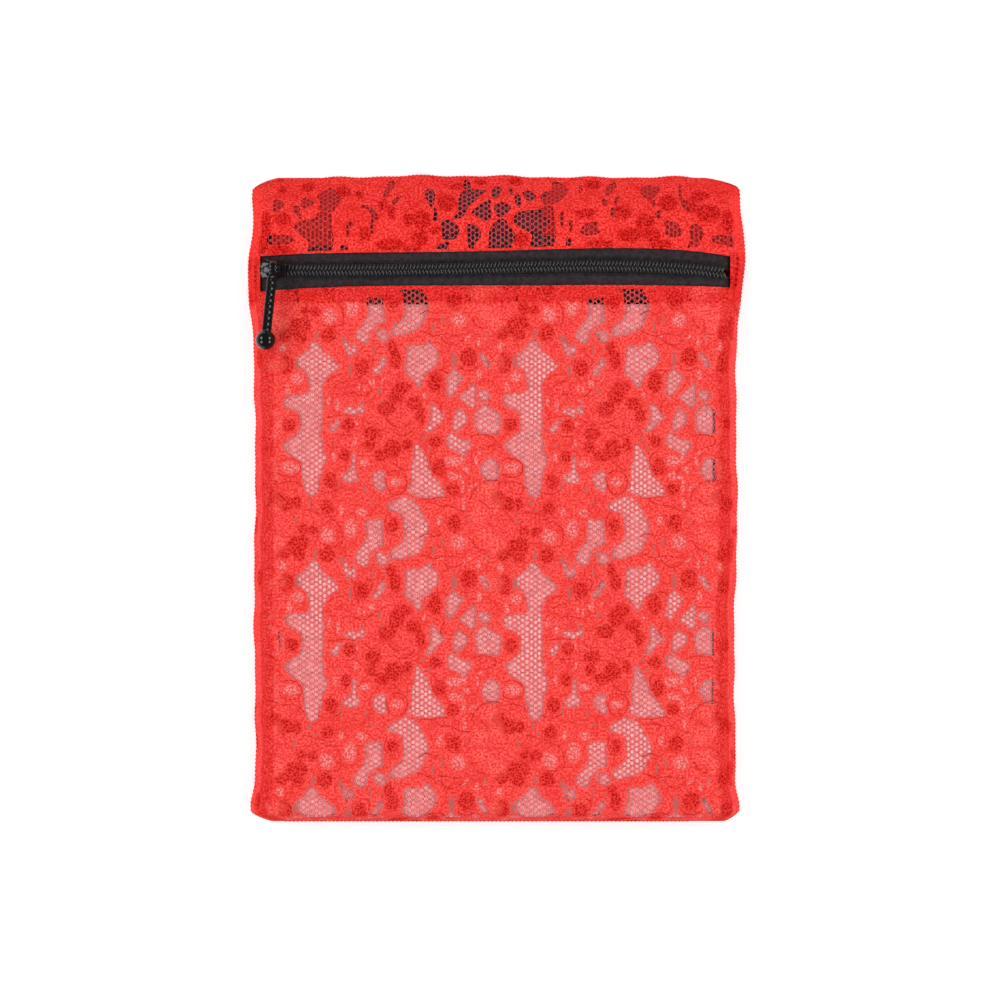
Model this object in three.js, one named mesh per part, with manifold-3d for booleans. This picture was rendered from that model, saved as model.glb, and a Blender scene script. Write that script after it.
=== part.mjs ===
// A soft insulin cooling case: a flat lace pouch with a zip across its front, lined at the back, holding a
// two-walled cooling insert whose channels are filled with gel. It lies on its back, as it does on a table.
// Millimetres. +X runs along the zip, +Y towards the top fold, +Z up out of the front.
import * as THREE from "three";
import { mergeVertices } from "three/addons/utils/BufferGeometryUtils.js";
import Module from "manifold-3d";

const wasm = await Module();
wasm.setup();

// Pouch outline
const POUCH_LENGTH = 201; // bottom fold to top fold
const BODY_WIDTH = 149.5; // side crease to side crease, below the zip
const ZIP_FLARE = 2.4; // how far the stiff zip pushes each side crease out
const FLARE_REACH = 15; // along the side, how far that push is felt
const CORNER_RADIUS = 5;

// Cloth thicknesses
const LACE = 0.8;
const LINING = 0.4;
const INSERT_CLOTH = 0.4;
const GEL = 1.5;
const TAPE = 0.5;
const SEWN_GAP = 0.3; // air between two cloths that lie on each other

// Cooling insert
const INSERT_FROM_SIDE = 6.75; // side crease to the insert's edge
const INSERT_FROM_BOTTOM = 6; // bottom fold to the insert's lower edge
const INSERT_FROM_TAPE = 0.5; // lower tape's outer edge to the insert's upper edge
const INSERT_CORNER = 4;
const POCKET_HEIGHT = 4.8; // clear height of the pen pocket between the two walls
const GEL_CHANNELS = 4; // sewn channels in each wall
const CHANNEL_SEAM = 4; // bare cloth between two channels
const INSERT_HEM = 5; // bare cloth round a wall's edge

// How the front lace drops to the creases
const SIDE_RUN = 4.2;
const BOTTOM_RUN = 4.6;
const HEADER_RUN = 16;

// Zip
const ZIP_FROM_TOP = 28.3; // top fold to the line where the two coils meet
const TAPE_HALF_WIDTH = 10.7; // that line to a tape's outer edge
const BAND_UP = 5.9; // that line to the header's lower edge
const BAND_DOWN = 6.3; // that line to the front panel's upper edge
const CLOSED_END = 2.95; // side crease to the tapes' end where the zip is closed
const OPEN_END = 4.75; // side crease to their other end
const TAPE_FOLD = 3.6; // from that line, where a tape's end starts to be folded under at 45 degrees
const SEWN_END = 14.75; // side crease to where the lower lip is free to lift
const COIL_HALF_WIDTH = 2.2;
const COIL_HEIGHT = 2;
const COIL_SPINE = 0.75; // width of a coil's sewn edge
const TOOTH_PITCH = 1.45;
const TOOTH_WIDTH = 0.75;
const MEETING_GAP = 0.9; // between the tips of facing teeth, where the slider's wedge passes
const CUT_GAP = 0.3; // between a lip's lifting part and its sewn ends

// Slider and pull
const SLIDER_LENGTH = 8.8;
const SHOULDER_HALF = 3.7; // half width where the coils part
const TAIL_HALF = 3.1; // half width where they leave together
const SLIDER_PLATE = 0.9;
const SLIDER_PLAY = 0.3; // running clearance of the slider over coil and tape
const WEDGE_WIDTH = 0.4;
const WEDGE_LENGTH = 3;
const BRIDGE_LENGTH = 6.6;
const BRIDGE_WIDTH = 1.5;
const BRIDGE_BAR = 1.4; // thickness of the bar that the pull hangs on
const BRIDGE_FOOT = 1.3;
const EYE_PLAY = 0.32;
const EYE_WALL = 0.9;
const EYE_THICKNESS = 1.6;
const STEM_RADIUS = 1.1;
const BALL_RADIUS = 2.95;
const PULL_LENGTH = 22.5; // pivot to the ball's centre
const PULL_YAW = THREE.MathUtils.degToRad(3.3);

// Smoothness
const ROUND_SIDES = 24;
const STEM_SIDES = 16;
const SHEET_STEP = 9; // about how long one facet of a flat cloth is
const EDGE_STEPS = 6; // facets across a rolled edge
const CORNER_STEPS = 3;

// Levels, from the floor up
const LINING_Z = LACE + SEWN_GAP;
const REAR_WALL_Z = LINING_Z + LINING;
const POCKET_Z = REAR_WALL_Z + 2 * INSERT_CLOTH + GEL;
const FRONT_WALL_Z = POCKET_Z + POCKET_HEIGHT;
const INSERT_TOP_Z = FRONT_WALL_Z + 2 * INSERT_CLOTH + GEL;
const CREASE_Z = LACE + SEWN_GAP + LACE / 4; // where the front lace's mid-line ends, over the back lace
const FRONT_Z = INSERT_TOP_Z + SEWN_GAP + LACE / 2; // mid-line of the front lace
const LACE_TOP_Z = FRONT_Z + LACE / 2;
const TAPE_TOP_Z = FRONT_Z - LACE / 2 - SEWN_GAP;
const TAPE_Z = TAPE_TOP_Z - TAPE;
const COIL_TOP_Z = TAPE_TOP_Z + COIL_HEIGHT;

// Places along the pouch
const TOP_Y = POUCH_LENGTH / 2;
const BOTTOM_Y = -TOP_Y;
const ZIP_Y = TOP_Y - ZIP_FROM_TOP;
const HEADER_EDGE_Y = ZIP_Y + BAND_UP;
const FRONT_EDGE_Y = ZIP_Y - BAND_DOWN;
const INSERT_BOTTOM_Y = BOTTOM_Y + INSERT_FROM_BOTTOM;
const INSERT_TOP_Y = ZIP_Y - TAPE_HALF_WIDTH - INSERT_FROM_TAPE;
const INSERT_HALF_WIDTH = BODY_WIDTH / 2 - INSERT_FROM_SIDE;
const LIP_HALF_LENGTH = BODY_WIDTH / 2 - SEWN_END;
const SIDE_INNER_X = LIP_HALF_LENGTH + CUT_GAP;
const TAPE_LEFT = CLOSED_END - ZIP_FLARE - BODY_WIDTH / 2;
const TAPE_RIGHT = BODY_WIDTH / 2 + ZIP_FLARE - OPEN_END;
const SLIDER_X = TAPE_LEFT + CUT_GAP + SLIDER_LENGTH / 2;

// Materials
const material = (color, roughness, metalness = 0) =>
  new THREE.MeshStandardMaterial({ color, roughness, metalness });
const RED_LACE = material(0xf6403c, 0.85);
const BLACK_CLOTH = material(0x1c1b1d, 0.9);
const PALE_CLOTH = material(0xdcd6d6, 0.8);
const CLEAR_GEL = material(0xcfe3ea, 0.25);
const BLACK_NYLON = material(0x17171a, 0.45);
const BLACK_LACQUER = material(0x0c0c0e, 0.2, 0.6);

const group = new THREE.Group();

function addMesh(parent, name, geometry, finish) {
  const mesh = new THREE.Mesh(geometry, finish);
  mesh.name = name;
  parent.add(mesh);
  return mesh;
}

// Solids for joining and cutting
function solid(geometry, matrix = new THREE.Matrix4()) {
  const bare = geometry.clone().applyMatrix4(matrix);
  bare.deleteAttribute("normal");
  bare.deleteAttribute("uv");
  const merged = mergeVertices(bare, 1e-4);
  return new wasm.Manifold(
    new wasm.Mesh({
      numProp: 3,
      vertProperties: merged.attributes.position.array,
      triVerts: new Uint32Array(merged.index.array),
    }),
  );
}

function geometryOf(made) {
  const mesh = made.getMesh();
  return new THREE.BufferGeometry()
    .setAttribute("position", new THREE.BufferAttribute(mesh.vertProperties, 3))
    .setIndex(new THREE.BufferAttribute(mesh.triVerts, 1));
}

const shifted = (x, y, z) => new THREE.Matrix4().makeTranslation(x, y, z);

function boxBetween(low, high) {
  const size = high.map((value, axis) => value - low[axis]);
  const middle = high.map((value, axis) => (value + low[axis]) / 2);
  return solid(new THREE.BoxGeometry(...size), shifted(...middle));
}

// Flat pieces
function slab(shape, low, high) {
  const geometry = new THREE.ExtrudeGeometry(shape, {
    depth: high - low,
    bevelEnabled: false,
    curveSegments: CORNER_STEPS,
  });
  return geometry.translate(0, 0, low);
}

const polygon = (points) =>
  new THREE.Shape(points.map(([x, y]) => new THREE.Vector2(x, y)));

function roundedRectangle(left, bottom, right, top, radius) {
  const shape = new THREE.Shape();
  shape.moveTo(left + radius, bottom);
  shape.lineTo(right - radius, bottom);
  shape.absarc(right - radius, bottom + radius, radius, -Math.PI / 2, 0);
  shape.lineTo(right, top - radius);
  shape.absarc(right - radius, top - radius, radius, 0, Math.PI / 2);
  shape.lineTo(left + radius, top);
  shape.absarc(left + radius, top - radius, radius, Math.PI / 2, Math.PI);
  shape.lineTo(left, bottom + radius);
  shape.absarc(left + radius, bottom + radius, radius, Math.PI, 1.5 * Math.PI);
  return shape;
}

// The pouch's outline: half its width at a place y along it, with round corners and the zip's flare
function halfWidth(y) {
  const flare = ZIP_FLARE * Math.exp(-(((y - ZIP_Y) / FLARE_REACH) ** 2));
  const fromEnd = Math.min(TOP_Y - Math.abs(y), CORNER_RADIUS);
  const inward = CORNER_RADIUS - Math.sqrt(CORNER_RADIUS ** 2 - (CORNER_RADIUS - fromEnd) ** 2);
  return BODY_WIDTH / 2 + flare - inward;
}

// The front lace's mid-line lies half a cloth inside the outline where it folds over to the back
const FOLD_INSET = LACE / 2;
const foldTop = TOP_Y - FOLD_INSET;
const foldBottom = BOTTOM_Y + FOLD_INSET;
const foldSide = (y) => halfWidth(y) - FOLD_INSET;

// Height of the front lace's mid-line over the floor: level on top, rolled down to every crease
function frontHeight(x, y) {
  const rise = (distance, run) =>
    Math.sin((Math.PI / 2) * THREE.MathUtils.clamp(distance / run, 0, 1));
  const share =
    rise(foldSide(y) - Math.abs(x), SIDE_RUN) *
    rise(foldTop - y, HEADER_RUN) *
    rise(y - foldBottom, BOTTOM_RUN);
  return CREASE_Z + (FRONT_Z - CREASE_Z) * share;
}

// Facets of about SHEET_STEP in a flat stretch
const flatSteps = (length) => Math.max(1, Math.round(length / SHEET_STEP));

// Stations from start to end, with EDGE_STEPS facets over a rolled stretch at either end
function stations(start, end, startRun, endRun, flat = flatSteps(end - start)) {
  const spread = (from, to, count) =>
    Array.from({ length: count }, (_, i) => from + ((to - from) * i) / count);
  const low = start + startRun;
  const high = end - endRun;
  return [
    ...(startRun ? spread(start, low, EDGE_STEPS) : []),
    ...spread(low, high, flat),
    ...(endRun ? spread(high, end, EDGE_STEPS) : []),
    end,
  ];
}

// A cloth of even thickness whose mid-surface passes through rows of points
function clothSolid(rows, thickness) {
  const across = rows[0].length;
  const at = (i, j) =>
    rows[THREE.MathUtils.clamp(i, 0, rows.length - 1)][THREE.MathUtils.clamp(j, 0, across - 1)];
  const normal = (i, j) => {
    const along = at(i + 1, j).clone().sub(at(i - 1, j));
    const sideways = at(i, j + 1).clone().sub(at(i, j - 1));
    return sideways.cross(along).normalize();
  };
  const positions = [];
  for (const side of [0.5, -0.5])
    rows.forEach((row, i) =>
      row.forEach((point, j) =>
        positions.push(...point.clone().addScaledVector(normal(i, j), side * thickness).toArray()),
      ),
    );
  const count = rows.length * across;
  const index = [];
  const quad = (a, b, c, d) => index.push(a, b, c, a, c, d);
  const id = (i, j, below) => i * across + j + (below ? count : 0);
  for (let i = 0; i + 1 < rows.length; i++)
    for (let j = 0; j + 1 < across; j++) {
      quad(id(i, j), id(i, j + 1), id(i + 1, j + 1), id(i + 1, j));
      quad(id(i, j, 1), id(i + 1, j, 1), id(i + 1, j + 1, 1), id(i, j + 1, 1));
    }
  for (let i = 0; i + 1 < rows.length; i++) {
    quad(id(i, 0, 1), id(i, 0), id(i + 1, 0), id(i + 1, 0, 1));
    quad(id(i, across - 1), id(i, across - 1, 1), id(i + 1, across - 1, 1), id(i + 1, across - 1));
  }
  for (let j = 0; j + 1 < across; j++) {
    quad(id(0, j), id(0, j, 1), id(0, j + 1, 1), id(0, j + 1));
    const last = rows.length - 1;
    quad(id(last, j, 1), id(last, j), id(last, j + 1), id(last, j + 1, 1));
  }
  return new THREE.BufferGeometry()
    .setAttribute("position", new THREE.Float32BufferAttribute(positions, 3))
    .setIndex(index);
}

// Outer lace: back, header, front panel and the two sewn sides
function makeBackLace() {
  const ys = stations(BOTTOM_Y, TOP_Y, CORNER_RADIUS, CORNER_RADIUS);
  const right = ys.map((y) => [halfWidth(y), y]);
  const left = ys.map((y) => [-halfWidth(y), y]).reverse();
  addMesh(group, "back_lace_panel", slab(polygon([...right, ...left]), 0, LACE), RED_LACE);
}

function makeHeaderLace() {
  const rows = stations(HEADER_EDGE_Y, foldTop, 0, HEADER_RUN).map((y) => {
    const crease = foldSide(y);
    const xs = stations(-crease, crease, SIDE_RUN, SIDE_RUN, flatSteps(BODY_WIDTH));
    return xs.map((x) => new THREE.Vector3(x, y, frontHeight(x, y)));
  });
  addMesh(group, "header_lace_panel", clothSolid(rows, LACE), RED_LACE);
}

function makeFrontLace(lip) {
  const xs = stations(-LIP_HALF_LENGTH, LIP_HALF_LENGTH, 0, 0);
  const ys = stations(foldBottom, FRONT_EDGE_Y, BOTTOM_RUN, 0);
  const rows = ys.map((y) => xs.map((x) => new THREE.Vector3(x, y, frontHeight(x, y))));
  addMesh(lip, "front_lace_panel", clothSolid(rows, LACE), RED_LACE);
}

function makeSideSeam(name, side, tapeEnd) {
  const flat = flatSteps(BODY_WIDTH / 2 - SIDE_INNER_X);
  const rows = stations(foldBottom, HEADER_EDGE_Y - CUT_GAP, BOTTOM_RUN, 0).map((y) => {
    const crease = foldSide(y);
    const xs = stations(SIDE_INNER_X, crease, 0, SIDE_RUN, flat).map((x) => side * x);
    if (side < 0) xs.reverse();
    return xs.map((x) => new THREE.Vector3(x, y, frontHeight(x, y)));
  });
  const notchX = [side * (SIDE_INNER_X - SHEET_STEP), tapeEnd + side * CUT_GAP].sort((a, b) => a - b);
  const notch = boxBetween(
    [notchX[0], FRONT_EDGE_Y, POCKET_Z],
    [notchX[1], HEADER_EDGE_Y, COIL_TOP_Z + LACE],
  );
  const cut = solid(clothSolid(rows, LACE)).subtract(notch);
  addMesh(group, name, geometryOf(cut), RED_LACE);
}

// Lining and cooling insert
function insertOutline() {
  return roundedRectangle(
    -INSERT_HALF_WIDTH,
    INSERT_BOTTOM_Y,
    INSERT_HALF_WIDTH,
    INSERT_TOP_Y,
    INSERT_CORNER,
  );
}

function makeLining() {
  const half = BODY_WIDTH / 2 - SIDE_RUN;
  const outline = roundedRectangle(-half, BOTTOM_Y + BOTTOM_RUN, half, TOP_Y - BOTTOM_RUN, CORNER_RADIUS);
  addMesh(group, "back_lining", slab(outline, LINING_Z, REAR_WALL_Z), BLACK_CLOTH);
}

function makeInsertWall(wall, low) {
  const gelLow = low + INSERT_CLOTH;
  const gelHigh = gelLow + GEL;
  const lower = slab(insertOutline(), low, gelLow);
  const upper = slab(insertOutline(), gelHigh, gelHigh + INSERT_CLOTH);
  addMesh(group, `insert_${wall}_lower_cloth`, lower, PALE_CLOTH);
  addMesh(group, `insert_${wall}_upper_cloth`, upper, PALE_CLOTH);
  const pitch = (2 * (INSERT_HALF_WIDTH - INSERT_HEM) + CHANNEL_SEAM) / GEL_CHANNELS;
  for (let channel = 0; channel < GEL_CHANNELS; channel++) {
    const left = INSERT_HEM - INSERT_HALF_WIDTH + channel * pitch;
    const pad = roundedRectangle(
      left,
      INSERT_BOTTOM_Y + INSERT_HEM,
      left + pitch - CHANNEL_SEAM,
      INSERT_TOP_Y - INSERT_HEM,
      INSERT_CORNER,
    );
    addMesh(group, `${wall}_gel_channel_${channel + 1}`, slab(pad, gelLow, gelHigh), CLEAR_GEL);
  }
}

// The insert's two walls are joined along the sides and the lower edge; its top is open
function makeInsertJoins() {
  const outer = INSERT_HALF_WIDTH;
  const low = INSERT_BOTTOM_Y + INSERT_CORNER;
  for (const [name, side] of [["left", -1], ["right", 1]]) {
    const xs = [side * outer, side * (outer - INSERT_CLOTH)].sort((a, b) => a - b);
    const high = INSERT_TOP_Y - INSERT_CORNER;
    const wall = polygon([[xs[0], low], [xs[1], low], [xs[1], high], [xs[0], high]]);
    addMesh(group, `insert_${name}_join`, slab(wall, POCKET_Z, FRONT_WALL_Z), PALE_CLOTH);
  }
  const reach = outer - INSERT_CORNER;
  const floor = polygon([
    [-reach, INSERT_BOTTOM_Y],
    [reach, INSERT_BOTTOM_Y],
    [reach, INSERT_BOTTOM_Y + INSERT_CLOTH],
    [-reach, INSERT_BOTTOM_Y + INSERT_CLOTH],
  ]);
  addMesh(group, "insert_bottom_join", slab(floor, POCKET_Z, FRONT_WALL_Z), PALE_CLOTH);
}

// Zip: side is +1 for the upper tape, sewn to the header, and -1 for the lower one, sewn to the front panel
function tapeShape(left, right, side, leftCorner, rightCorner) {
  const inner = side * MEETING_GAP / 2;
  const shown = side * TAPE_FOLD;
  const outer = side * TAPE_HALF_WIDTH;
  const fold = TAPE_HALF_WIDTH - TAPE_FOLD;
  const points = [
    [left, inner],
    [right, inner],
    ...(rightCorner ? [[right, shown], [right - fold, outer]] : [[right, outer]]),
    ...(leftCorner ? [[left + fold, outer], [left, shown]] : [[left, outer]]),
  ];
  return polygon(side > 0 ? points : points.reverse());
}

function coilShape(left, right, side) {
  const spine = side * COIL_HALF_WIDTH;
  const root = side * (COIL_HALF_WIDTH - COIL_SPINE);
  const tip = (side * MEETING_GAP) / 2;
  const offset = side > 0 ? 0 : TOOTH_PITCH / 2; // facing teeth stand in each other's gaps
  const points = [[left, spine], [left, root]];
  const first = Math.ceil((left + TOOTH_WIDTH - offset) / TOOTH_PITCH);
  const last = Math.floor((right - TOOTH_WIDTH - offset) / TOOTH_PITCH);
  for (let tooth = first; tooth <= last; tooth++) {
    const x = tooth * TOOTH_PITCH + offset;
    points.push([x - TOOTH_WIDTH / 2, root], [x - TOOTH_WIDTH / 2, tip]);
    points.push([x + TOOTH_WIDTH / 2, tip], [x + TOOTH_WIDTH / 2, root]);
  }
  points.push([right, root], [right, spine]);
  return polygon(side > 0 ? points : points.reverse());
}

function makeZipHalf(parent, ending, left, right, side, leftCorner, rightCorner) {
  const tape = slab(tapeShape(left, right, side, leftCorner, rightCorner), TAPE_Z, TAPE_TOP_Z);
  const coil = slab(coilShape(left, right, side), TAPE_TOP_Z, COIL_TOP_Z);
  addMesh(parent, `zip_tape_${ending}`, tape.translate(0, ZIP_Y, 0), BLACK_CLOTH);
  addMesh(parent, `zip_coil_${ending}`, coil.translate(0, ZIP_Y, 0), BLACK_NYLON);
}

// Slider: two plates held apart by a wedge, with flanges that keep the coils in
const SLIDER_TOP_Z = COIL_TOP_Z + SLIDER_PLAY;
const BRIDGE_Z = SLIDER_TOP_Z + SLIDER_PLATE;
const EYE_BORE = Math.hypot(BRIDGE_WIDTH, BRIDGE_BAR) / 2 + EYE_PLAY;
const EYE_RADIUS = EYE_BORE + EYE_WALL;
const PIVOT_Z = BRIDGE_Z + EYE_RADIUS + SLIDER_PLAY;

function sliderOutline() {
  const front = -SLIDER_LENGTH / 2;
  const back = SLIDER_LENGTH / 2;
  const notch = SLIDER_LENGTH / 6;
  return polygon([
    [front, -SHOULDER_HALF],
    [front + notch, -SHOULDER_HALF],
    [back, -TAIL_HALF],
    [back, TAIL_HALF],
    [front + notch, SHOULDER_HALF],
    [front, SHOULDER_HALF],
    [front + notch, 0],
  ]);
}

function makeSlider(slider) {
  const plateLow = TAPE_Z - SLIDER_PLAY - SLIDER_PLATE;
  const upper = solid(slab(sliderOutline(), SLIDER_TOP_Z, BRIDGE_Z));
  const lower = solid(slab(sliderOutline(), plateLow, plateLow + SLIDER_PLATE));
  const wedgeFront = -SLIDER_LENGTH / 3;
  const wedge = boxBetween(
    [wedgeFront, -WEDGE_WIDTH / 2, plateLow],
    [wedgeFront + WEDGE_LENGTH, WEDGE_WIDTH / 2, BRIDGE_Z],
  );
  const channel = COIL_HALF_WIDTH + SLIDER_PLAY;
  const block = solid(slab(sliderOutline(), TAPE_TOP_Z + SLIDER_PLAY, BRIDGE_Z));
  const hollow = boxBetween(
    [-SLIDER_LENGTH, -channel, plateLow],
    [SLIDER_LENGTH, channel, SLIDER_TOP_Z],
  );
  const flanges = block.subtract(hollow);
  const body = upper.add(lower).add(wedge).add(flanges);
  addMesh(slider, "slider_body", geometryOf(body), BLACK_LACQUER);
}

// Bridge: a domed bow over the slider, with an opening for the pull's eye
function makeBridge(slider) {
  const half = BRIDGE_LENGTH / 2;
  const rise = PIVOT_Z - BRIDGE_Z;
  const top = rise + BRIDGE_BAR / 2;
  const opening = rise - BRIDGE_BAR / 2;
  const inner = half - BRIDGE_FOOT;
  const bow = new THREE.Shape();
  bow.moveTo(-half, 0);
  bow.lineTo(-inner, 0);
  bow.lineTo(-inner, opening);
  bow.lineTo(inner, opening);
  bow.lineTo(inner, 0);
  bow.lineTo(half, 0);
  bow.absellipse(0, 0, half, top, 0, Math.PI);
  const geometry = new THREE.ExtrudeGeometry(bow, {
    depth: BRIDGE_WIDTH,
    bevelEnabled: false,
    curveSegments: ROUND_SIDES / 2,
  });
  geometry.translate(0, 0, -BRIDGE_WIDTH / 2).rotateX(Math.PI / 2).translate(0, 0, BRIDGE_Z);
  addMesh(slider, "slider_bridge", geometry, BLACK_LACQUER);
}

// Pull: an eye round the bridge's bar, a stem and a ball. It is modelled along -Y from the pivot, then laid
// down on the lace
function makePull(slider) {
  const ring = new THREE.Shape().absarc(0, 0, EYE_RADIUS, 0, 2 * Math.PI);
  ring.holes.push(new THREE.Path().absarc(0, 0, EYE_BORE, 0, 2 * Math.PI, true));
  const eye = new THREE.ExtrudeGeometry(ring, {
    depth: EYE_THICKNESS,
    bevelEnabled: false,
    curveSegments: ROUND_SIDES / 2,
  });
  eye.translate(0, 0, -EYE_THICKNESS / 2).rotateY(Math.PI / 2);
  const stemStart = (EYE_BORE + EYE_RADIUS) / 2;
  const stemLength = PULL_LENGTH - stemStart;
  const stem = new THREE.CylinderGeometry(STEM_RADIUS, STEM_RADIUS, stemLength, STEM_SIDES);
  stem.translate(0, -stemStart - stemLength / 2, 0);
  const ball = new THREE.SphereGeometry(BALL_RADIUS, ROUND_SIDES, ROUND_SIDES / 2);
  ball.translate(0, -PULL_LENGTH, 0);
  const bore = new THREE.CylinderGeometry(EYE_BORE, EYE_BORE, 2 * EYE_RADIUS, ROUND_SIDES);
  bore.rotateZ(Math.PI / 2);
  const pull = solid(eye).add(solid(stem).subtract(solid(bore))).add(solid(ball));
  const mesh = addMesh(slider, "zip_pull", geometryOf(pull), BLACK_LACQUER);
  const ballZ = LACE_TOP_Z + BALL_RADIUS + SEWN_GAP;
  const droop = Math.asin((PIVOT_Z - ballZ) / PULL_LENGTH);
  mesh.position.z = PIVOT_Z;
  mesh.rotation.set(droop, 0, -PULL_YAW, "ZXY");
}

makeBackLace();
makeHeaderLace();
makeLining();
makeInsertWall("rear", REAR_WALL_Z);
makeInsertWall("front", FRONT_WALL_Z);
makeInsertJoins();
makeSideSeam("left_side_seam", -1, TAPE_LEFT);
makeSideSeam("right_side_seam", 1, TAPE_RIGHT);
makeZipHalf(group, "upper", TAPE_LEFT, TAPE_RIGHT, 1, true, true);
makeZipHalf(group, "lower_left_end", TAPE_LEFT, -SIDE_INNER_X, -1, true, false);
makeZipHalf(group, "lower_right_end", SIDE_INNER_X, TAPE_RIGHT, -1, false, true);

const lip = new THREE.Group();
group.add(lip);
makeFrontLace(lip);
makeZipHalf(lip, "lower", -LIP_HALF_LENGTH, LIP_HALF_LENGTH, -1, false, false);

const slider = new THREE.Group();
slider.position.set(SLIDER_X, ZIP_Y, 0);
group.add(slider);
makeSlider(slider);
makeBridge(slider);
makePull(slider);

export default group;
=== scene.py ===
"""Dresses the lace cooling case: red floral lace, a pale insert, a black coil zip and a ball-ended pull."""

import math

import bmesh
import bpy
import numpy as np
from mathutils import Euler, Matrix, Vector
from mathutils.geometry import delaunay_2d_cdt
from mathutils.kdtree import KDTree


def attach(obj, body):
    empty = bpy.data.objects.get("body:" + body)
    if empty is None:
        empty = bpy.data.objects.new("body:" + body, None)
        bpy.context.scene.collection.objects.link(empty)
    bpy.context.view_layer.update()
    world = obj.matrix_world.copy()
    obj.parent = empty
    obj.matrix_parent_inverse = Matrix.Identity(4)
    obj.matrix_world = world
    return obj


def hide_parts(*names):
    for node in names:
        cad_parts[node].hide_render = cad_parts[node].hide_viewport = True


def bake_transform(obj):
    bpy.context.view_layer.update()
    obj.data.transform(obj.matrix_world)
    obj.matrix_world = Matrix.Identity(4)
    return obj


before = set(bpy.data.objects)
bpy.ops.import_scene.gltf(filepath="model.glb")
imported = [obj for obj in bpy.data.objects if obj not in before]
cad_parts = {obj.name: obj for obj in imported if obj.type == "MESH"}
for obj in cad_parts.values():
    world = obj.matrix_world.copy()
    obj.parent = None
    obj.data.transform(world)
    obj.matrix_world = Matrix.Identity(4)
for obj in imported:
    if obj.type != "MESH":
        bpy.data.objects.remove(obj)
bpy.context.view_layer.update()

MM = 0.001

# The pouch, in millimetres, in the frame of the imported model
TOP_FOLD = 101.0
BODY_HALF = 74.9
ZIP_FLARE, FLARE_REACH = 2.3, 12.0
CORNER_FLARE, CORNER_AT, CORNER_REACH = 1.1, 96.0, 5.0
CREASE_Z = 1.0
FRONT_Z = 11.5
SIDE_ROLL = 4.2
BOTTOM_ROLL = 3.0
HEADER_ROLL = 16.0
CHAIN_Y = 72.2
LIP_HALF = 60.0
TAPE_LEFT, TAPE_RIGHT = -73.4, 72.9
TAPE_TOP = 10.9
TAPE_HALF = 10.7
INSERT_HALF = 68.0
INSERT_BOTTOM, INSERT_TOP = -94.5, 61.0
FRONT_WALL_BOTTOM = -99.3
# How far the sewn zip and the lace edges beside it stray from the chain's line, as curves over x / STRAY_SPAN
STRAY_SPAN = 73.0
CHAIN_CURVE = (-1.12, -2.33, -0.21, 1.8, 0.25)
HEADER_EDGE = (-3.15, -1.82, 1.45, 1.82, 5.54)
FRONT_EDGE = (-1.52, 0.46, 0.21, 0.17, -5.29)
# Blunt corners, left then right: how far each is cut across and along
TOP_CORNERS = ((7.0, 3.4), (10.0, 3.0))
LOW_CORNERS = ((6.0, 2.8), (4.0, 3.2))
COIL_PITCH = 1.148
SLIDER_X = -69.5
SLIDER_Y = CHAIN_Y - 0.45  # on the chain, which has been sewn a little low there
PIVOT = (SLIDER_X, CHAIN_Y, 16.646)  # the pull swings here
BALL = 3.08  # radius of the pull's ball
STRIP_TOP = CHAIN_Y + 5.1  # the side strips of the front go up past the zip's ends

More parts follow.
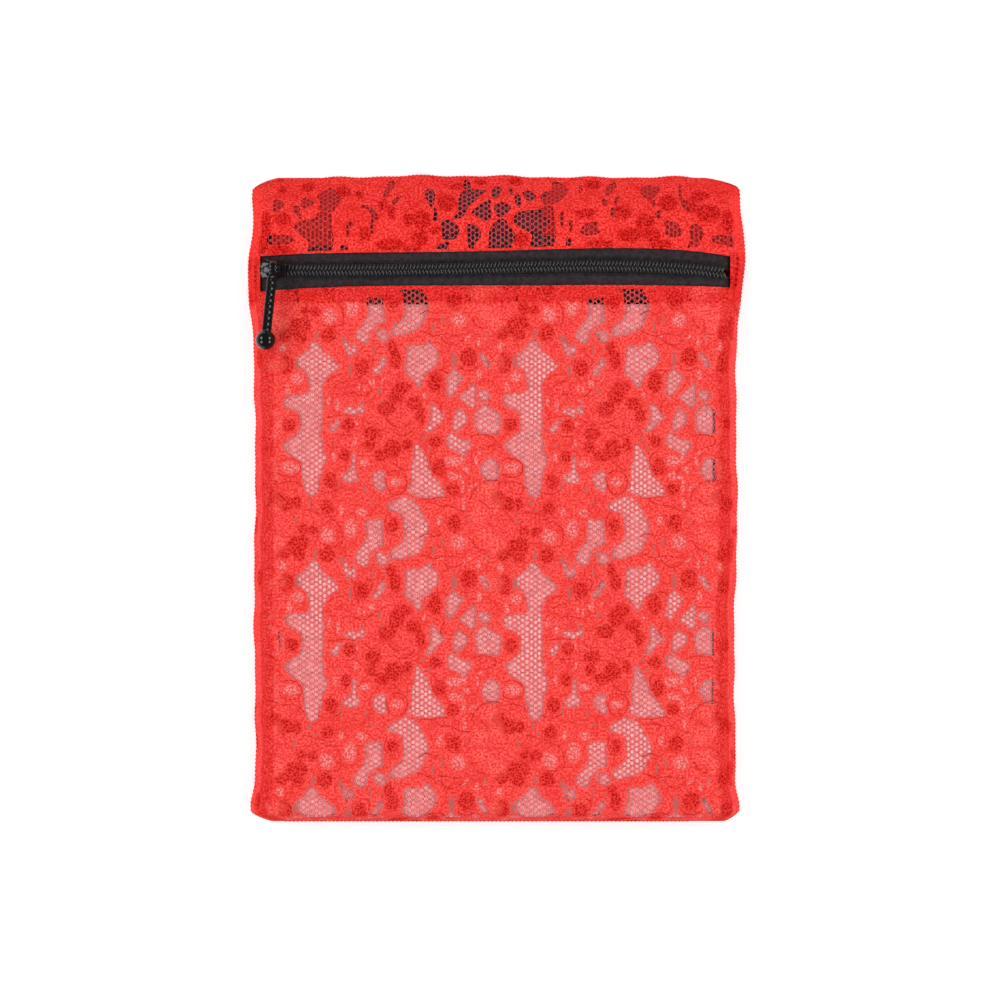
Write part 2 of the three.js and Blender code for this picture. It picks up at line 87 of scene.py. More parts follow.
# One repeat of the lace's flower pattern. Windows are the net-filled gaps between petals and leaves.
REPEAT = np.array([68.8, 69.4])
REPEAT_AT = np.array([1.25, 49.87])
WINDOWS = [
    [(10, 0), (11.9, -0.9), (12.8, -3.1), (14.1, -4.1), (15.3, -5), (16.6, -6.3), (17.8, -7.8), (17.5, -9.1),
     (16.6, -9.7), (15.3, -10.3), (14.4, -11.6), (13.4, -13.1), (12.8, -15), (13.1, -17.5), (13.4, -20.6),
     (13.1, -23.8), (13.4, -26.3), (13.1, -28.8), (12.8, -30.3), (13.8, -32.2), (13.4, -34.1), (14.4, -36.3),
     (15, -37.8), (14.1, -39.7), (13.4, -41.6), (13.1, -44.4), (12.8, -46.9), (11.9, -48.8), (10.6, -49.4),
     (9.4, -48.8), (8.4, -46.9), (7.8, -44.4), (7.5, -41.3), (7.2, -38.5), (5.9, -37.2), (4.1, -36.3),
     (2.5, -34.7), (1.3, -32.8), (2.8, -31.3), (4.7, -29.7), (5.9, -28.8), (6.6, -26.3), (6.3, -23.8),
     (5.3, -22.2), (3.1, -21.3), (1.6, -20.3), (0.9, -18.4), (2.2, -16.9), (4.7, -16.6), (7.2, -16.6),
     (8.8, -15.3), (8.4, -13.1), (8.1, -10.9), (7.2, -9.7), (5.9, -8.4), (5, -6.6), (5.3, -4.7), (7.2, -3.4),
     (8.4, -2.2), (9.1, -0.6)],
    [(1.6, -12.2), (2.5, -13.4), (3.4, -15.3), (3.1, -16.6), (1.6, -16.6), (1.3, -14.7)],
    [(19.7, -0.3), (21, -0.3), (21.6, -2.8), (22.5, -1.3), (23.8, -2.8), (23.1, -5), (21.9, -3.8),
     (21.6, -5.6), (20.3, -3.8)],
    [(31.3, -5.9), (32.8, -6.3), (32.8, -8.1), (31.6, -9.1), (31, -10.6), (29.4, -11.3), (28.8, -9.7),
     (30.3, -8.4)],
    [(33.1, -11.3), (32.5, -12.8), (31.6, -13.8), (31.3, -12.8)],
    [(28.1, -12.5), (29.4, -12.5), (29.4, -14.4), (29.1, -15.9), (28.1, -15), (26.9, -13.1)],
    [(25, -19.4), (25.6, -20.6), (26, -22.5), (25.3, -23.5), (24.1, -22.8), (23.1, -24.4), (21.9, -23.5),
     (20.3, -23.1), (19.4, -22.2), (21, -21.6), (22.2, -21), (23.1, -21.9), (24.4, -21.6)],
    [(19.4, -25), (18.4, -26), (17.8, -28.1), (17.2, -29.1), (15.9, -28.8), (15.3, -27.8), (16.6, -26.6),
     (17.5, -25.6)],
    [(23.5, -30), (24.4, -31.3), (24.1, -33.1), (23.1, -34.1), (21.9, -34.1), (22.8, -32.5)],
    [(22.8, -36.3), (23.8, -36.6), (23.8, -40), (24.4, -41.9), (25, -43.8), (23.8, -44.7), (22.2, -45),
     (20.3, -44.4), (19.7, -43.2), (21.6, -41.6), (22.5, -40)],
    [(16.6, -35.3), (18.1, -35.6), (17.8, -37.5), (18.4, -38.8), (17.2, -38.5), (16.3, -36.9)],
    [(30.3, -41.6), (31.9, -41), (33.1, -41.9), (32.8, -43.8), (33.5, -45.7), (32.5, -47.5), (31.3, -47.2),
     (30, -46), (29.1, -44.4), (29.1, -42.5)],
    [(19.1, -51.6), (20.3, -52.5), (20.6, -54.4), (19.4, -55.7), (18.8, -54.1)],
    [(27.2, -56.9), (28.1, -56), (29.4, -56.6), (30.6, -56), (32.2, -56.3), (32.5, -58.5), (32.8, -61.9),
     (32.8, -63.8), (31.6, -64.4), (30, -65), (28.8, -66.3), (28.1, -67.5), (27.8, -69.4), (26.6, -70.7),
     (24.4, -69.7), (23.5, -68.2), (24.1, -66.6), (25.6, -64.7), (26.9, -62.9), (27.5, -60.7), (27.2, -58.8)],
    [(30, -66.6), (31.9, -66.3), (33.5, -67.2), (34.1, -69.1), (32.5, -70.4), (30.6, -69.4)],
    [(39.7, -2.2), (41.9, -1.9), (44.1, -1.9), (46, -0.9), (46.9, 0), (47.8, -1.6), (49.1, -2.8),
     (49.7, -4.4), (49.4, -6.9), (48.2, -8.1), (46.9, -9.7), (45.3, -10.9), (44.4, -12.8), (43.8, -15),
     (42.8, -14.7), (41.6, -13.1), (40.3, -11.6), (39.1, -10.6), (38.8, -8.8), (39.4, -6.3), (39.4, -3.8)],
    [(53.8, -9.1), (55, -9.4), (56, -10.6), (57.5, -11.6), (56.6, -12.8), (55.7, -14.7), (54.7, -16.3),
     (53.5, -17.8), (52.2, -17.5), (51.9, -15.6), (52.2, -13.4), (51.9, -11.6), (52.8, -10.9)],
    [(60.7, -12.8), (61.3, -15), (61.3, -17.8), (61.3, -20), (59.7, -21.3), (58.2, -20), (56.9, -18.8),
     (55.7, -18.1), (57.2, -16.9), (58.5, -15.6), (59.7, -14.4)],
    [(62.9, -15.3), (64.4, -15.9), (65.7, -16.9), (65.4, -18.4), (63.8, -19.4), (62.5, -18.1), (61.9, -16.6)],
    [(62.9, -20.6), (64.4, -20), (66, -21.3), (67.5, -22.2), (68.8, -23.1), (69.1, -25), (68.8, -27.5),
     (67.9, -29.4), (63.8, -29.1), (61.6, -28.5), (61, -25.3), (61, -22.8)],
    [(61.6, -8.8), (63.2, -9.7), (63.2, -11.9), (62.2, -13.1), (61.3, -11.3)],
    [(62.5, -4.1), (63.8, -4.4), (64.7, -5.9), (65.7, -8.1), (64.7, -8.8), (63.5, -7.2), (62.5, -5.6)],
    [(59.4, 2.2), (59.7, 0.6), (57.8, -0.6), (56.9, -1.3), (57.5, 0.3)],
    [(62.2, 1.3), (62.9, -0.6), (62.5, -2.2), (61.3, -1.9), (61.3, -0.6)],
    [(64.4, 2.2), (65, 0.9), (64.4, -0.9), (63.8, -0.3)],
    [(47.2, -19.7), (48.8, -21), (50, -22.2), (51.3, -24.1), (50.3, -25.3), (49.1, -26.3), (47.8, -28.1),
     (46.9, -28.8), (45.3, -28.5), (46.3, -26.6), (46.9, -24.4), (46.9, -21.9)],
    [(55.3, -21.3), (56.9, -21.9), (58.5, -23.5), (58.5, -25.3), (57.2, -26.9), (55.7, -28.1), (54.4, -28.8),
     (53.8, -27.2), (54.1, -25), (54.7, -22.8)],
    [(52.5, -29.1), (54.1, -29.4), (55.3, -30.3), (57.2, -31), (59.1, -31.6), (59.7, -33.1), (58.5, -35),
     (57.5, -36.3), (56, -35.3), (54.1, -34.1), (52.5, -33.5), (51.9, -31.3)],
    [(42.2, -32.5), (43.5, -33.1), (44.7, -35), (46, -37.2), (46.6, -39.4), (47.5, -41.9), (49.1, -43.8),
     (50.7, -45.7), (51.3, -47.5), (51, -48.8), (48.5, -48.8), (45.3, -49.1), (43.2, -48.8), (41.3, -47.8),
     (40, -46.9), (41, -44.1), (41, -40), (41.6, -37.5), (41.9, -34.4)],
    [(56.6, -39.4), (58.8, -39.7), (59.4, -41.9), (57.5, -41.3)],
    [(56.6, -43.5), (57.8, -43.5), (57.5, -48.2), (56.6, -48.2)],
    [(56.6, -49.1), (57.8, -49.1), (58.2, -52.2), (57.5, -54.4), (56.9, -52.2)],
    [(62.2, -44.4), (61.9, -45.7), (60, -46.3), (59.7, -47.8), (58.8, -47.8), (58.5, -46), (60, -45)],
    [(64.4, -37.5), (65.4, -36.9), (66.9, -37.2), (68.2, -38.5), (68.5, -41), (67.9, -43.8), (65.4, -44.7),
     (63.8, -43.2), (62.5, -41), (63.2, -38.8)],
    [(35, -50.7), (36.9, -49.7), (39.1, -48.8), (41, -49.4), (42.5, -50.3), (43.8, -52.2), (44.7, -54.1),
     (46.3, -56.9), (46.6, -60.4), (45.3, -63.2), (44.1, -65.7), (42.5, -66.6), (40.3, -67.5), (38.1, -68.2),
     (35, -68.2), (35, -65.7), (36.6, -64.4), (38.1, -63.2), (39.1, -61), (38.8, -57.8), (38.5, -55),
     (36.9, -53.8), (34.4, -53.2), (33.8, -51.9)],
    [(49.4, -55), (50.7, -54.1), (51, -56.9), (50, -58.5), (48.8, -57.2)],
    [(60.4, -66.6), (58.8, -67.9), (57.5, -69.4), (57.2, -70.4), (58.5, -69.7), (60.4, -67.9)],
]
# Small windows closed by a fine net: centre, half width, half height
FINE_WINDOWS = [
    (5, -11.6, 1.9, 1.6), (14.9, -19.1, 0.6, 1.9), (17.7, -20.6, 0.6, 2.5), (24.4, -15, 0.4, 1.3),
    (26, -15.5, 0.4, 1.4), (12.8, -32.5, 1.1, 1.4), (3.8, -40, 2.5, 1.6), (26.3, -38.8, 1.7, 1.1),
    (20.6, -43.2, 0.9, 1.1), (22.5, -59.1, 1.9, 3), (15.3, -61.6, 2.2, 2.2), (26, -54.1, 1.6, 1.3),
    (54.1, -37.8, 2.5, 1.6), (53.8, -42.5, 1.3, 1.3), (56, -42.8, 0.9, 0.9), (36.3, -44.4, 1.9, 1.4),
    (56, -63.2, 2.3, 2.2), (50, -68.2, 0.9, 0.4), (23.9, -26.3, 0.5, 0.9), (44.9, -17.5, 0.5, 1.3),
    (14.1, -59.7, 0.6, 0.8), (0.2, -1.9, 1, 1.4), (61.3, -37.8, 0.5, 1.9), (62.4, -35, 0.5, 0.9),
    (57.2, -36.3, 0.5, 2),
]
# Narrow slits beside stems and petals, painted dark with the shade seen through them: centre, half width,
# half height
SLITS = [
    (29.1, -3.4, 0.3, 2.5), (30.8, -16.3, 0.5, 1.6), (54.4, -6.3, 0.4, 2.8), (10.9, 1.9, 0.6, 1.6),
    (9.7, -51, 0.5, 1.3), (21.6, -9.7, 0.5, 2.8), (23.1, -38.5, 0.4, 1.9), (26.9, -46.9, 0.3, 2.3),
    (19.1, -46, 0.3, 2.5), (48.2, -65.4, 0.4, 1.9), (51, -63.2, 0.4, 1.7), (64.4, -67.9, 0.3, 1.6),
    (44.7, -30.6, 0.6, 0.7), (17.5, -33.1, 0.5, 0.5), (11.6, -53.2, 0.5, 0.5), (32.8, -3.4, 0.4, 0.5),
    (31.9, -19.7, 0.4, 0.5), (58.5, -55.7, 0.3, 0.7), (59.4, -56.9, 0.4, 0.5), (4.7, -6.9, 0.4, 1.9),
    (19.4, -69.1, 0.3, 1.3), (46.4, -33.8, 0.4, 0.9), (5.3, -56.6, 0.4, 1.3), (4.7, -54.1, 0.3, 0.5),
    (28.8, -50.7, 0.9, 0.4),
]
# Flower hearts worked in an open, speckled stitch, its piercings painted dark with shade: centre, half width,
# half height
HEARTS = [
    (1.3, -7.2, 2.2, 2.8), (25.6, -8.8, 1.9, 2.5), (36, -6.3, 1.6, 2.8), (48.5, -13.4, 1.9, 3),
    (59.1, -5.3, 2.5, 2.8), (3.1, -26.3, 2.2, 1.9), (21.3, -26.9, 1.9, 2), (36.3, -17.5, 2.2, 2.5),
    (41.6, -20, 2.2, 1.9), (33.1, -21.6, 2.7, 2.2), (43.8, -23.8, 1.4, 2.3), (38.1, -15, 2.5, 1.6),
    (28.8, -29.4, 2.5, 1.9), (28.1, -33.5, 1.7, 1.7), (35.3, -34.1, 2.5, 2.8), (31.6, -36.3, 2.2, 1.7),
    (39.7, -32.8, 1.3, 1.9), (48.5, -31.6, 2, 1.6), (20.6, -36.6, 1.6, 1.9), (49.7, -39.7, 1.9, 2.5),
    (16.3, -44.4, 1.9, 2.3), (53.8, -46.6, 1.9, 1.7), (2.2, -51.3, 2.5, 2.2), (5.9, -51.3, 1.3, 1.9),
    (-0.9, -49.1, 1.9, 1.9), (15.3, -52.8, 1.9, 1.9), (35.6, -57.8, 1.6, 1.9), (54.7, -56.9, 2, 2.3),
    (10.9, -60, 1.6, 1.4), (7.5, -59.7, 1.6, 1.4), (4.7, -65, 2.5, 2.8), (6.9, -64.1, 2.2, 2.2),
    (0.9, -67.2, 1.9, 1.9), (14.7, -67.5, 2.2, 2.2), (5.9, -67.9, 1.9, 1.6), (34.7, -2.5, 1.3, 1.9),
    (46.9, -13.8, 0.6, 1.3),
]
# Petals whose stitches let pale pinholes through: centre, half width, half height
PALE_PETALS = [
    (65, -47.5, 3.1, 2.2), (62.2, -54.4, 2.8, 2.8), (67.2, -51.9, 2.5, 2.5), (67.5, -64.1, 2.8, 2.8),
    (63.5, -60.7, 2.5, 2.2), (68.2, -6.9, 1.9, 2.2), (68.8, -26.3, 1.6, 1.9),
]
# Sunk stitch lines round petals and across leaves
PETAL_LINES = [
    [(14.4, -12.8), (15.9, -11.7), (17.8, -10.9), (19.4, -10.6)],
    [(16.6, -14.7), (17.8, -13.8), (19.1, -13.3), (21.3, -12.8)],
    [(18.8, -17.5), (20.6, -17), (22.5, -16.9), (24.4, -17.5), (26.6, -17.5), (27.8, -16.6), (28.8, -15.3)],
    [(-0.9, -45), (1.6, -44.7), (4.1, -44.4), (6.3, -45), (8.1, -46.6)],
    [(50, 0.9), (51.3, -0.3), (52.5, -1.3), (54.4, -1.7), (56.3, -0.9), (57.5, 0)],
    [(59.4, -30.3), (61.6, -29.7), (64.1, -29.7), (66.3, -30.3), (67.5, -31.6), (66.3, -33.1), (64.1, -33.5)],
    [(43.8, -49.4), (46.9, -49.6), (50, -49.1), (52.5, -49.1)],
    [(46.9, -50.3), (50, -51.6), (53.2, -51.9), (56.3, -53.2), (59.4, -53.5)],
    [(43.8, -61.6), (46.3, -60.4), (48.5, -61.3), (50.3, -60.7)],
    [(12.8, -64.1), (15, -64.7), (17.5, -64.7), (19.4, -64.1), (19.7, -61.9), (19.4, -59.7), (18.4, -57.8),
     (16.6, -56.6), (14.7, -57.5)],
    [(13.4, -56.3), (15.6, -55.7), (18.1, -55.5)],
    [(35, -38.1), (36.9, -39.7), (38.8, -40.7), (41, -40.3)],
    [(33.1, -43.2), (33.8, -46), (35, -47.8), (37.5, -48.2), (39.4, -46.3), (39.7, -43.2), (38.1, -41.3),
     (35.6, -41), (33.8, -41.9)],
    [(43.8, -66.6), (46.3, -67.5), (48.8, -68.2), (51.9, -67.5), (55, -67.9), (57.5, -67.5)],
    [(0.6, -37.8), (2.8, -37.2), (5.3, -37.5), (6.9, -39.1), (6.9, -41.3), (5, -42.8), (2.2, -42.8),
     (0.3, -41.6)],
    [(7.5, -53.8), (9.4, -53.8), (11.9, -54.7), (15, -55.3)],
    [(59.4, -50), (60.7, -46.9), (63.2, -44.7), (66.3, -43.8), (69.4, -44.4)],
    [(60, -62.5), (61.6, -65), (64.4, -66)],
    [(62.5, -50), (64.4, -51.6), (66.9, -51)],
    [(33.1, -25), (35, -26.9), (37.5, -27.5), (40, -26.6)],
    [(35, -28.8), (37.5, -30), (40, -29.4), (41.9, -27.5)],
    [(26, -25), (28.1, -26.6), (30.6, -26.3)],
    [(46.3, -10.9), (48.5, -9.7), (50.7, -9.4), (52.5, -10.6)],
    [(51.3, -18.8), (50, -21.3), (50.7, -23.1)],
    [(26.9, -5), (28.8, -6.3), (28.1, -8.8)],
    [(23.8, -5.6), (23.1, -8.1), (23.5, -10.9), (25, -12.5)],
    [(15, -24.4), (17.5, -24.1), (20.6, -23.8), (23.1, -24.4)],
    [(18.8, -30), (20.6, -30.3), (22.8, -30)],
    [(12.5, -47.5), (15, -48.2), (17.5, -47.8), (19.4, -46.6)],
    [(48.5, -35), (46.9, -36.9), (47.5, -40), (49.1, -42.5)],
    [(33.8, -54.7), (33.1, -57.5), (34.4, -60.4), (36.6, -60.7)],
    [(51.9, -54.4), (52.8, -58.8), (55, -60), (57.2, -58.8)],
    [(56.3, -8.1), (57.5, -9.4), (60, -9.4), (61.9, -8.1)],
]
# The header is cut from another part of the same lace, so its windows and hearts are its own
HEADER_WINDOWS = [
    [(-51.6, 97.7), (-49.4, 95.2), (-48.5, 93.3), (-50, 91.5), (-51, 89.9), (-53.5, 90.2), (-55.3, 90.8),
     (-55, 93), (-56, 94.9), (-54.4, 96.2)],
    [(-55.7, 89.6), (-53.2, 89.9), (-51.3, 88.7), (-51.3, 84.9), (-50.7, 81.1), (-51.9, 77.4), (-55.7, 77.1),
     (-58.8, 77.1), (-58.5, 80.2), (-60.4, 82.1), (-62.2, 83.6), (-63.2, 84.9), (-62.2, 86.8), (-60.4, 87.1),
     (-57.8, 87.7), (-56.3, 88.3)],
    [(-71.3, 82.4), (-68.2, 82.7), (-64.4, 82.4), (-63.2, 81.5), (-64.4, 79.9), (-68.2, 79.6), (-71.3, 79.9)],
    [(-63.2, 92.1), (-61.3, 91.5), (-61.6, 89.6), (-60.4, 88.7), (-61.3, 87.7), (-62.5, 89.3), (-63.5, 90.8)],
    [(-61, 93.7), (-59.7, 94.9), (-58.2, 94), (-56.9, 92.7), (-58.5, 91.5), (-60.4, 91.2)],
    [(-69.4, 94.3), (-66.9, 93.7), (-66.6, 92.1), (-68.5, 90.2), (-69.7, 90.2)],
    [(-42.2, 92.4), (-40.3, 91.8), (-38.8, 91.2), (-37.2, 89.3), (-36.6, 87.7), (-37.8, 87.4), (-38.5, 85.5),
     (-38.1, 83.3), (-39.1, 83.3), (-39.4, 86.1), (-38.8, 88.3), (-40, 90.5), (-41.9, 91.2)],
    [(-46.6, 86.5), (-45, 86.8), (-44.1, 85.8), (-45.7, 84.9), (-46, 82.4), (-46.6, 82.1)],
    [(-35, 96.2), (-33.8, 99), (-32.2, 99.6), (-31.6, 98), (-33.1, 96.5), (-34.1, 94.6), (-35.3, 94.6)],
    [(-32.5, 92.7), (-31.3, 94.3), (-29.4, 94.9), (-30.6, 93.3), (-31.9, 91.8)],
    [(-48.8, 79), (-46.9, 79.6), (-46.3, 77.4), (-48.5, 77.1)],
    [(-22.5, 95.8), (-20.6, 96.8), (-19.4, 96.2), (-19.1, 94), (-19.7, 91.5), (-20.6, 91.5), (-21.6, 93)],
    [(-19.4, 91.2), (-18.4, 89.9), (-18.1, 87.7), (-18.8, 86.8), (-19.7, 87.4), (-19.4, 89.6)],
    [(-10.3, 96.2), (-8.1, 96.8), (-5.6, 96.8), (-3.1, 96.5), (-5, 94.9), (-6.6, 93.3), (-8.1, 91.8),
     (-9.4, 89.9), (-10, 88.7), (-11.3, 89.3), (-11.9, 90.8), (-11.9, 93), (-11.3, 94.9)],
    [(-10, 99.3), (-9.1, 100.2), (-8.1, 98.7), (-7.8, 97.1), (-9.4, 96.8), (-10.3, 97.4)],
    [(-13.4, 88), (-11.9, 89.6), (-10.6, 89.6), (-10.3, 88.3), (-11.9, 87.7), (-13.1, 87.4)],
    [(-7.8, 89.6), (-6.6, 90.8), (-5, 92.1), (-3.1, 93.3), (-1.6, 93.3), (-1.9, 91.2), (-1.3, 89.3),
     (-1.9, 87.7), (-3.1, 86.8), (-4.7, 87.7), (-6.6, 88.7)],
    [(-0.9, 97.1), (0.3, 97.7), (1.9, 96.5), (1.3, 95.2), (0.3, 94), (-0.9, 94), (-1.6, 95.2)],
    [(0.3, 92.4), (2.2, 92.7), (4.1, 92.1), (4.7, 91.2), (3.8, 89.6), (2.2, 88.3), (0.6, 88.3), (-0.3, 89.6),
     (-0.6, 91.2)],
    [(-17.2, 87.1), (-14.7, 87.4), (-12.8, 86.5), (-11.6, 84.9), (-11.6, 83), (-12.8, 81.5), (-14.7, 81.1),
     (-16.6, 81.5), (-16.9, 84.3)],
    [(-9.1, 85.8), (-7.2, 86.1), (-5.6, 85.2), (-4.7, 83.3), (-5, 81.5), (-6.6, 80.2), (-6.9, 78.6),
     (-8.4, 78.3), (-8.8, 80.5), (-9.1, 83)],
    [(-18.8, 78.6), (-17.5, 79.9), (-15.6, 80.5), (-14.4, 80.2), (-15.3, 79), (-15.6, 77.1), (-18.8, 77.1)],
    [(0.6, 87.4), (2.8, 87.7), (3.8, 86.1), (5, 84.6), (5.9, 82.7), (5.6, 80.8), (4.7, 79.3), (5.9, 77.4),
     (-2.5, 77.4), (-2.2, 80.2), (-2.2, 83.6), (-1.3, 85.5)],
    [(5.3, 87.7), (6.9, 89.6), (8.8, 90.2), (11.3, 90.5), (13.8, 90.8), (15.3, 91.8), (17.5, 91.5),
     (18.1, 89), (18.4, 85.8), (18.8, 82.7), (18.1, 79.6), (17.2, 77.4), (10.6, 77.4), (10.9, 80.5),
     (11.3, 82.4), (10.3, 83.6), (8.1, 84.6), (6.3, 85.5)],
    [(17.8, 99.6), (20.6, 99), (22.2, 97.4), (22.2, 95.8), (20.6, 94), (18.8, 92.7), (16.3, 92.1),
     (14.4, 92.7), (14.1, 94.9), (15.3, 96.2), (17.5, 96.8)],
    [(5.9, 95.2), (6.9, 95.5), (7.8, 93.7), (7.8, 91.5), (6.6, 91.5), (5.9, 93.3)],
    [(4.1, 97.1), (5, 96.8), (5.3, 95.2), (4.4, 95.2)],
    [(8.4, 95.8), (10, 96.8), (11.9, 95.8), (12.5, 94.3), (10.9, 93.3), (9.1, 94)],
    [(20, 89.3), (21, 89.6), (21.3, 86.1), (20.3, 85.2)],
    [(22.8, 87.1), (23.8, 87.1), (23.8, 84.3), (23.1, 84)],
    [(26.3, 84), (27.2, 85.5), (29.1, 86.5), (31.3, 86.8), (31.9, 84.9), (32.5, 83.6), (30.6, 82.7),
     (28.5, 82.4), (26.9, 83)],
    [(34.1, 95.8), (34.7, 97.7), (36, 99), (37.2, 99.6), (37.8, 98.3), (36.6, 96.8), (35.6, 95.5),
     (34.4, 94.9)],
    [(36.9, 92.7), (37.2, 94), (38.5, 95.2), (38.8, 94.3), (37.8, 93.3), (37.5, 91.8)],
    [(33.1, 93.7), (34.4, 94), (34.7, 92.4), (33.8, 91.8)],
    [(36, 91.2), (36.9, 91.2), (37.2, 88.7), (36.6, 88), (35.6, 89.3)],
    [(46, 98), (48.2, 98.7), (50.7, 98), (51.3, 96.8), (49.7, 94.9), (48.2, 93.7), (46.6, 94.3),
     (45.3, 96.2)],
    [(48.5, 93.3), (49.7, 93.7), (49.7, 91.8), (48.8, 91.5)],
    [(50, 89.9), (51.3, 90.2), (51.6, 88.3), (50.7, 87.4), (50, 88.3)],
    [(52.5, 86.5), (54.4, 87.1), (56.3, 86.5), (57.5, 85.2), (58.2, 83), (56.3, 82.1), (54.1, 82.1),
     (52.8, 83.3), (53.2, 84.9)],
    [(60.7, 85.2), (62.5, 86.1), (64.1, 84.9), (65, 83), (64.1, 81.1), (63.2, 79.3), (61.6, 79.3),
     (59.7, 78.6), (60.7, 80.8), (60.4, 83)],
    [(67.5, 81.8), (69.4, 82.7), (71.9, 82.4), (73.8, 82.1), (74.1, 79), (72.5, 79.3), (70, 79.9),
     (67.9, 80.2)],
    [(57.5, 98.7), (58.2, 97.7), (58.2, 94.9), (59.4, 92.7), (60.4, 90.5), (58.8, 90.8), (57.8, 92.7),
     (57.2, 95.2)],
    [(26, 98), (26.9, 98.3), (26.9, 96.2), (26, 95.8)],
    [(22.2, 82.1), (23.5, 81.1), (23.1, 79.3), (21.9, 79.3)],
]
HEADER_HEARTS = [
    (-66.6, 87.7, 2.5, 1.9), (-72.2, 85.8, 1.9, 4.4), (-73.2, 79.6, 1.6, 3.1), (-67.9, 78, 3.8, 1.3),
    (-41, 83, 1.9, 1.9), (-35.3, 91.8, 1.3, 1.9), (-32.8, 89.6, 0.9, 2.2), (-42.8, 95.5, 0.9, 1.6),
    (-66.9, 98, 0.9, 1.6), (-47.8, 96.2, 1.9, 2.5), (-58.8, 98.3, 1.9, 1.9), (-15.3, 92.7, 2.8, 2.8),
    (-23.1, 87.4, 2.8, 2.8), (-23.8, 81.8, 2.5, 2.2), (-27.5, 87.4, 1.6, 2.2), (-19.1, 84.3, 1.3, 1.3),
    (7.5, 81.1, 2.2, 2.2), (6.3, 99.3, 2.2, 1.6), (-5, 99.3, 2.2, 1.3), (66.3, 89.6, 3.8, 2.8),
    (63.8, 95.2, 2.8, 1.9), (39.4, 89.9, 3.1, 2.2), (46.6, 86.8, 2.8, 2.5), (30.3, 98.3, 2.5, 1.9),
    (41.9, 82.7, 3.8, 1.9), (48.8, 82.7, 2.5, 1.9), (51.3, 79.6, 3.8, 1.3), (32.5, 79.6, 4.4, 1.3),
    (60.7, 92.1, 1.9, 2.5), (53.5, 92.7, 2.8, 2.8), (72.5, 86.8, 1.9, 3.8), (-33.1, 79.6, 4.4, 1.6),
    (-26.3, 78.3, 2.5, 0.9), (27.8, 89.6, 3.1, 1.3), (-12.5, 97.7, 1.9, 1.3),
]
NET_CELL = 1.72  # length of one mesh of the net, along the pouch
NET_SQUEEZE = 0.885  # its width over that of an even six-sided cell
NET_BEHIND = 0.06  # how far it lies behind the close cloth
NET_THREAD = 0.44
HEADER_THREAD = 0.36
RED_NET = 0.55  # where red cloth lies behind the net, its thread looks as red as the petals
LINE_WIDTH, LINE_RAISED = 0.36, 0.03  # a stitched line on the cloth
SMALL_WINDOW = 6.5  # square millimetres: smaller windows are only thin cloth
# Along its hems the lace is double, with no windows: how far in from the left, right, zip and bottom
FRONT_HEMS = (8.0, 6.7, 1.2, 8.0)
HEM_FROM, HEM_TO = 2.6, 6.6  # the hem that is seen along the side creases, in from them
FAR_IN = 9.0  # well inside every hem
SEWN_FROM = 70.0  # beyond this the seams close the lace's slits
# Red facings behind the header: from and to where across it, and their flat size in metres
FACINGS = {"left": (-70.0, -23.0, (0.047, 0.0265)), "right": (15.0, 75.0, (0.06, 0.0265))}


# Node trees and meshes


def socket(tree, name, kind, is_input=True, default=None):
    made = tree.interface.new_socket(name, in_out="INPUT" if is_input else "OUTPUT", socket_type=kind)
    if default is not None:
        made.default_value = default
    return made


def add_node(tree, kind, inputs=(), **settings):
    """A node with its settings, and its inputs by name or number: a value, or a socket to link from."""
    node = tree.nodes.new(kind)
    for key, value in settings.items():
        setattr(node, key, value)
    for key, value in dict(inputs).items():
        if isinstance(value, bpy.types.NodeSocket):
            tree.links.new(value, node.inputs[key])
        else:
            node.inputs[key].default_value = value
    return node


def math_node(tree, operation, a, b=0.0):
    return add_node(tree, "ShaderNodeMath", {0: a, 1: b}, operation=operation).outputs[0]


def vector_node(tree, operation, inputs):
    return add_node(tree, "ShaderNodeVectorMath", inputs, operation=operation).outputs[0]


def geometry_tree(name, inputs):
    """A new tree with named inputs, and the sockets it is given and gives out."""
    tree = bpy.data.node_groups.new(name, "GeometryNodeTree")
    tree.is_modifier = True
    socket(tree, "Geometry", "NodeSocketGeometry")
    for key, kind, default in inputs:
        socket(tree, key, kind, default=default)
    socket(tree, "Geometry", "NodeSocketGeometry", is_input=False)
    return tree, tree.nodes.new("NodeGroupInput").outputs, tree.nodes.new("NodeGroupOutput").inputs


def end_tree(tree, geometry, given, out):
    """Ends a tree with real geometry in the given material."""
    real = add_node(tree, "GeometryNodeRealizeInstances", {0: geometry}).outputs[0]
    painted = add_node(tree, "GeometryNodeSetMaterial", {"Geometry": real, "Material": given["Material"]})
    tree.links.new(painted.outputs[0], out[0])


def evaluated(source):
    """The plain mesh that an object's modifiers make; the object goes."""
    bpy.context.view_layer.update()
    mesh = bpy.data.meshes.new_from_object(source.evaluated_get(bpy.context.evaluated_depsgraph_get()))
    mesh.name = source.name
    bpy.data.objects.remove(source)
    return mesh


def new_object(name, mesh):
    made = bpy.data.objects.new(name, mesh)
    bpy.context.collection.objects.link(made)
    return made


def run_tree(name, base, tree, values):
    """The plain mesh that a tree makes of a base mesh, with values for its inputs by name."""
    source = new_object(name, base)
    modifier = source.modifiers.new("Shape", "NODES")
    modifier.node_group = tree
    for item in tree.interface.items_tree:
        if item.in_out == "INPUT" and item.name in values:
            modifier[item.identifier] = values[item.name]
    return evaluated(source)


def thickened(name, mesh, thickness):
    """A cloth given its thickness, half to each side."""
    source = new_object(name, mesh)
    modifier = source.modifiers.new("Cloth", "SOLIDIFY")
    modifier.thickness = thickness * MM
    modifier.offset = 0.0
    return evaluated(source)


def place(name, mesh, body=None, finish=None):
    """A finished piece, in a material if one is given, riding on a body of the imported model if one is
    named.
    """
    piece = new_object(name, mesh)
    if finish:
        mesh.materials.clear()
        mesh.materials.append(finish)
    mesh.shade_smooth()
    if body:
        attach(piece, body)
    return piece


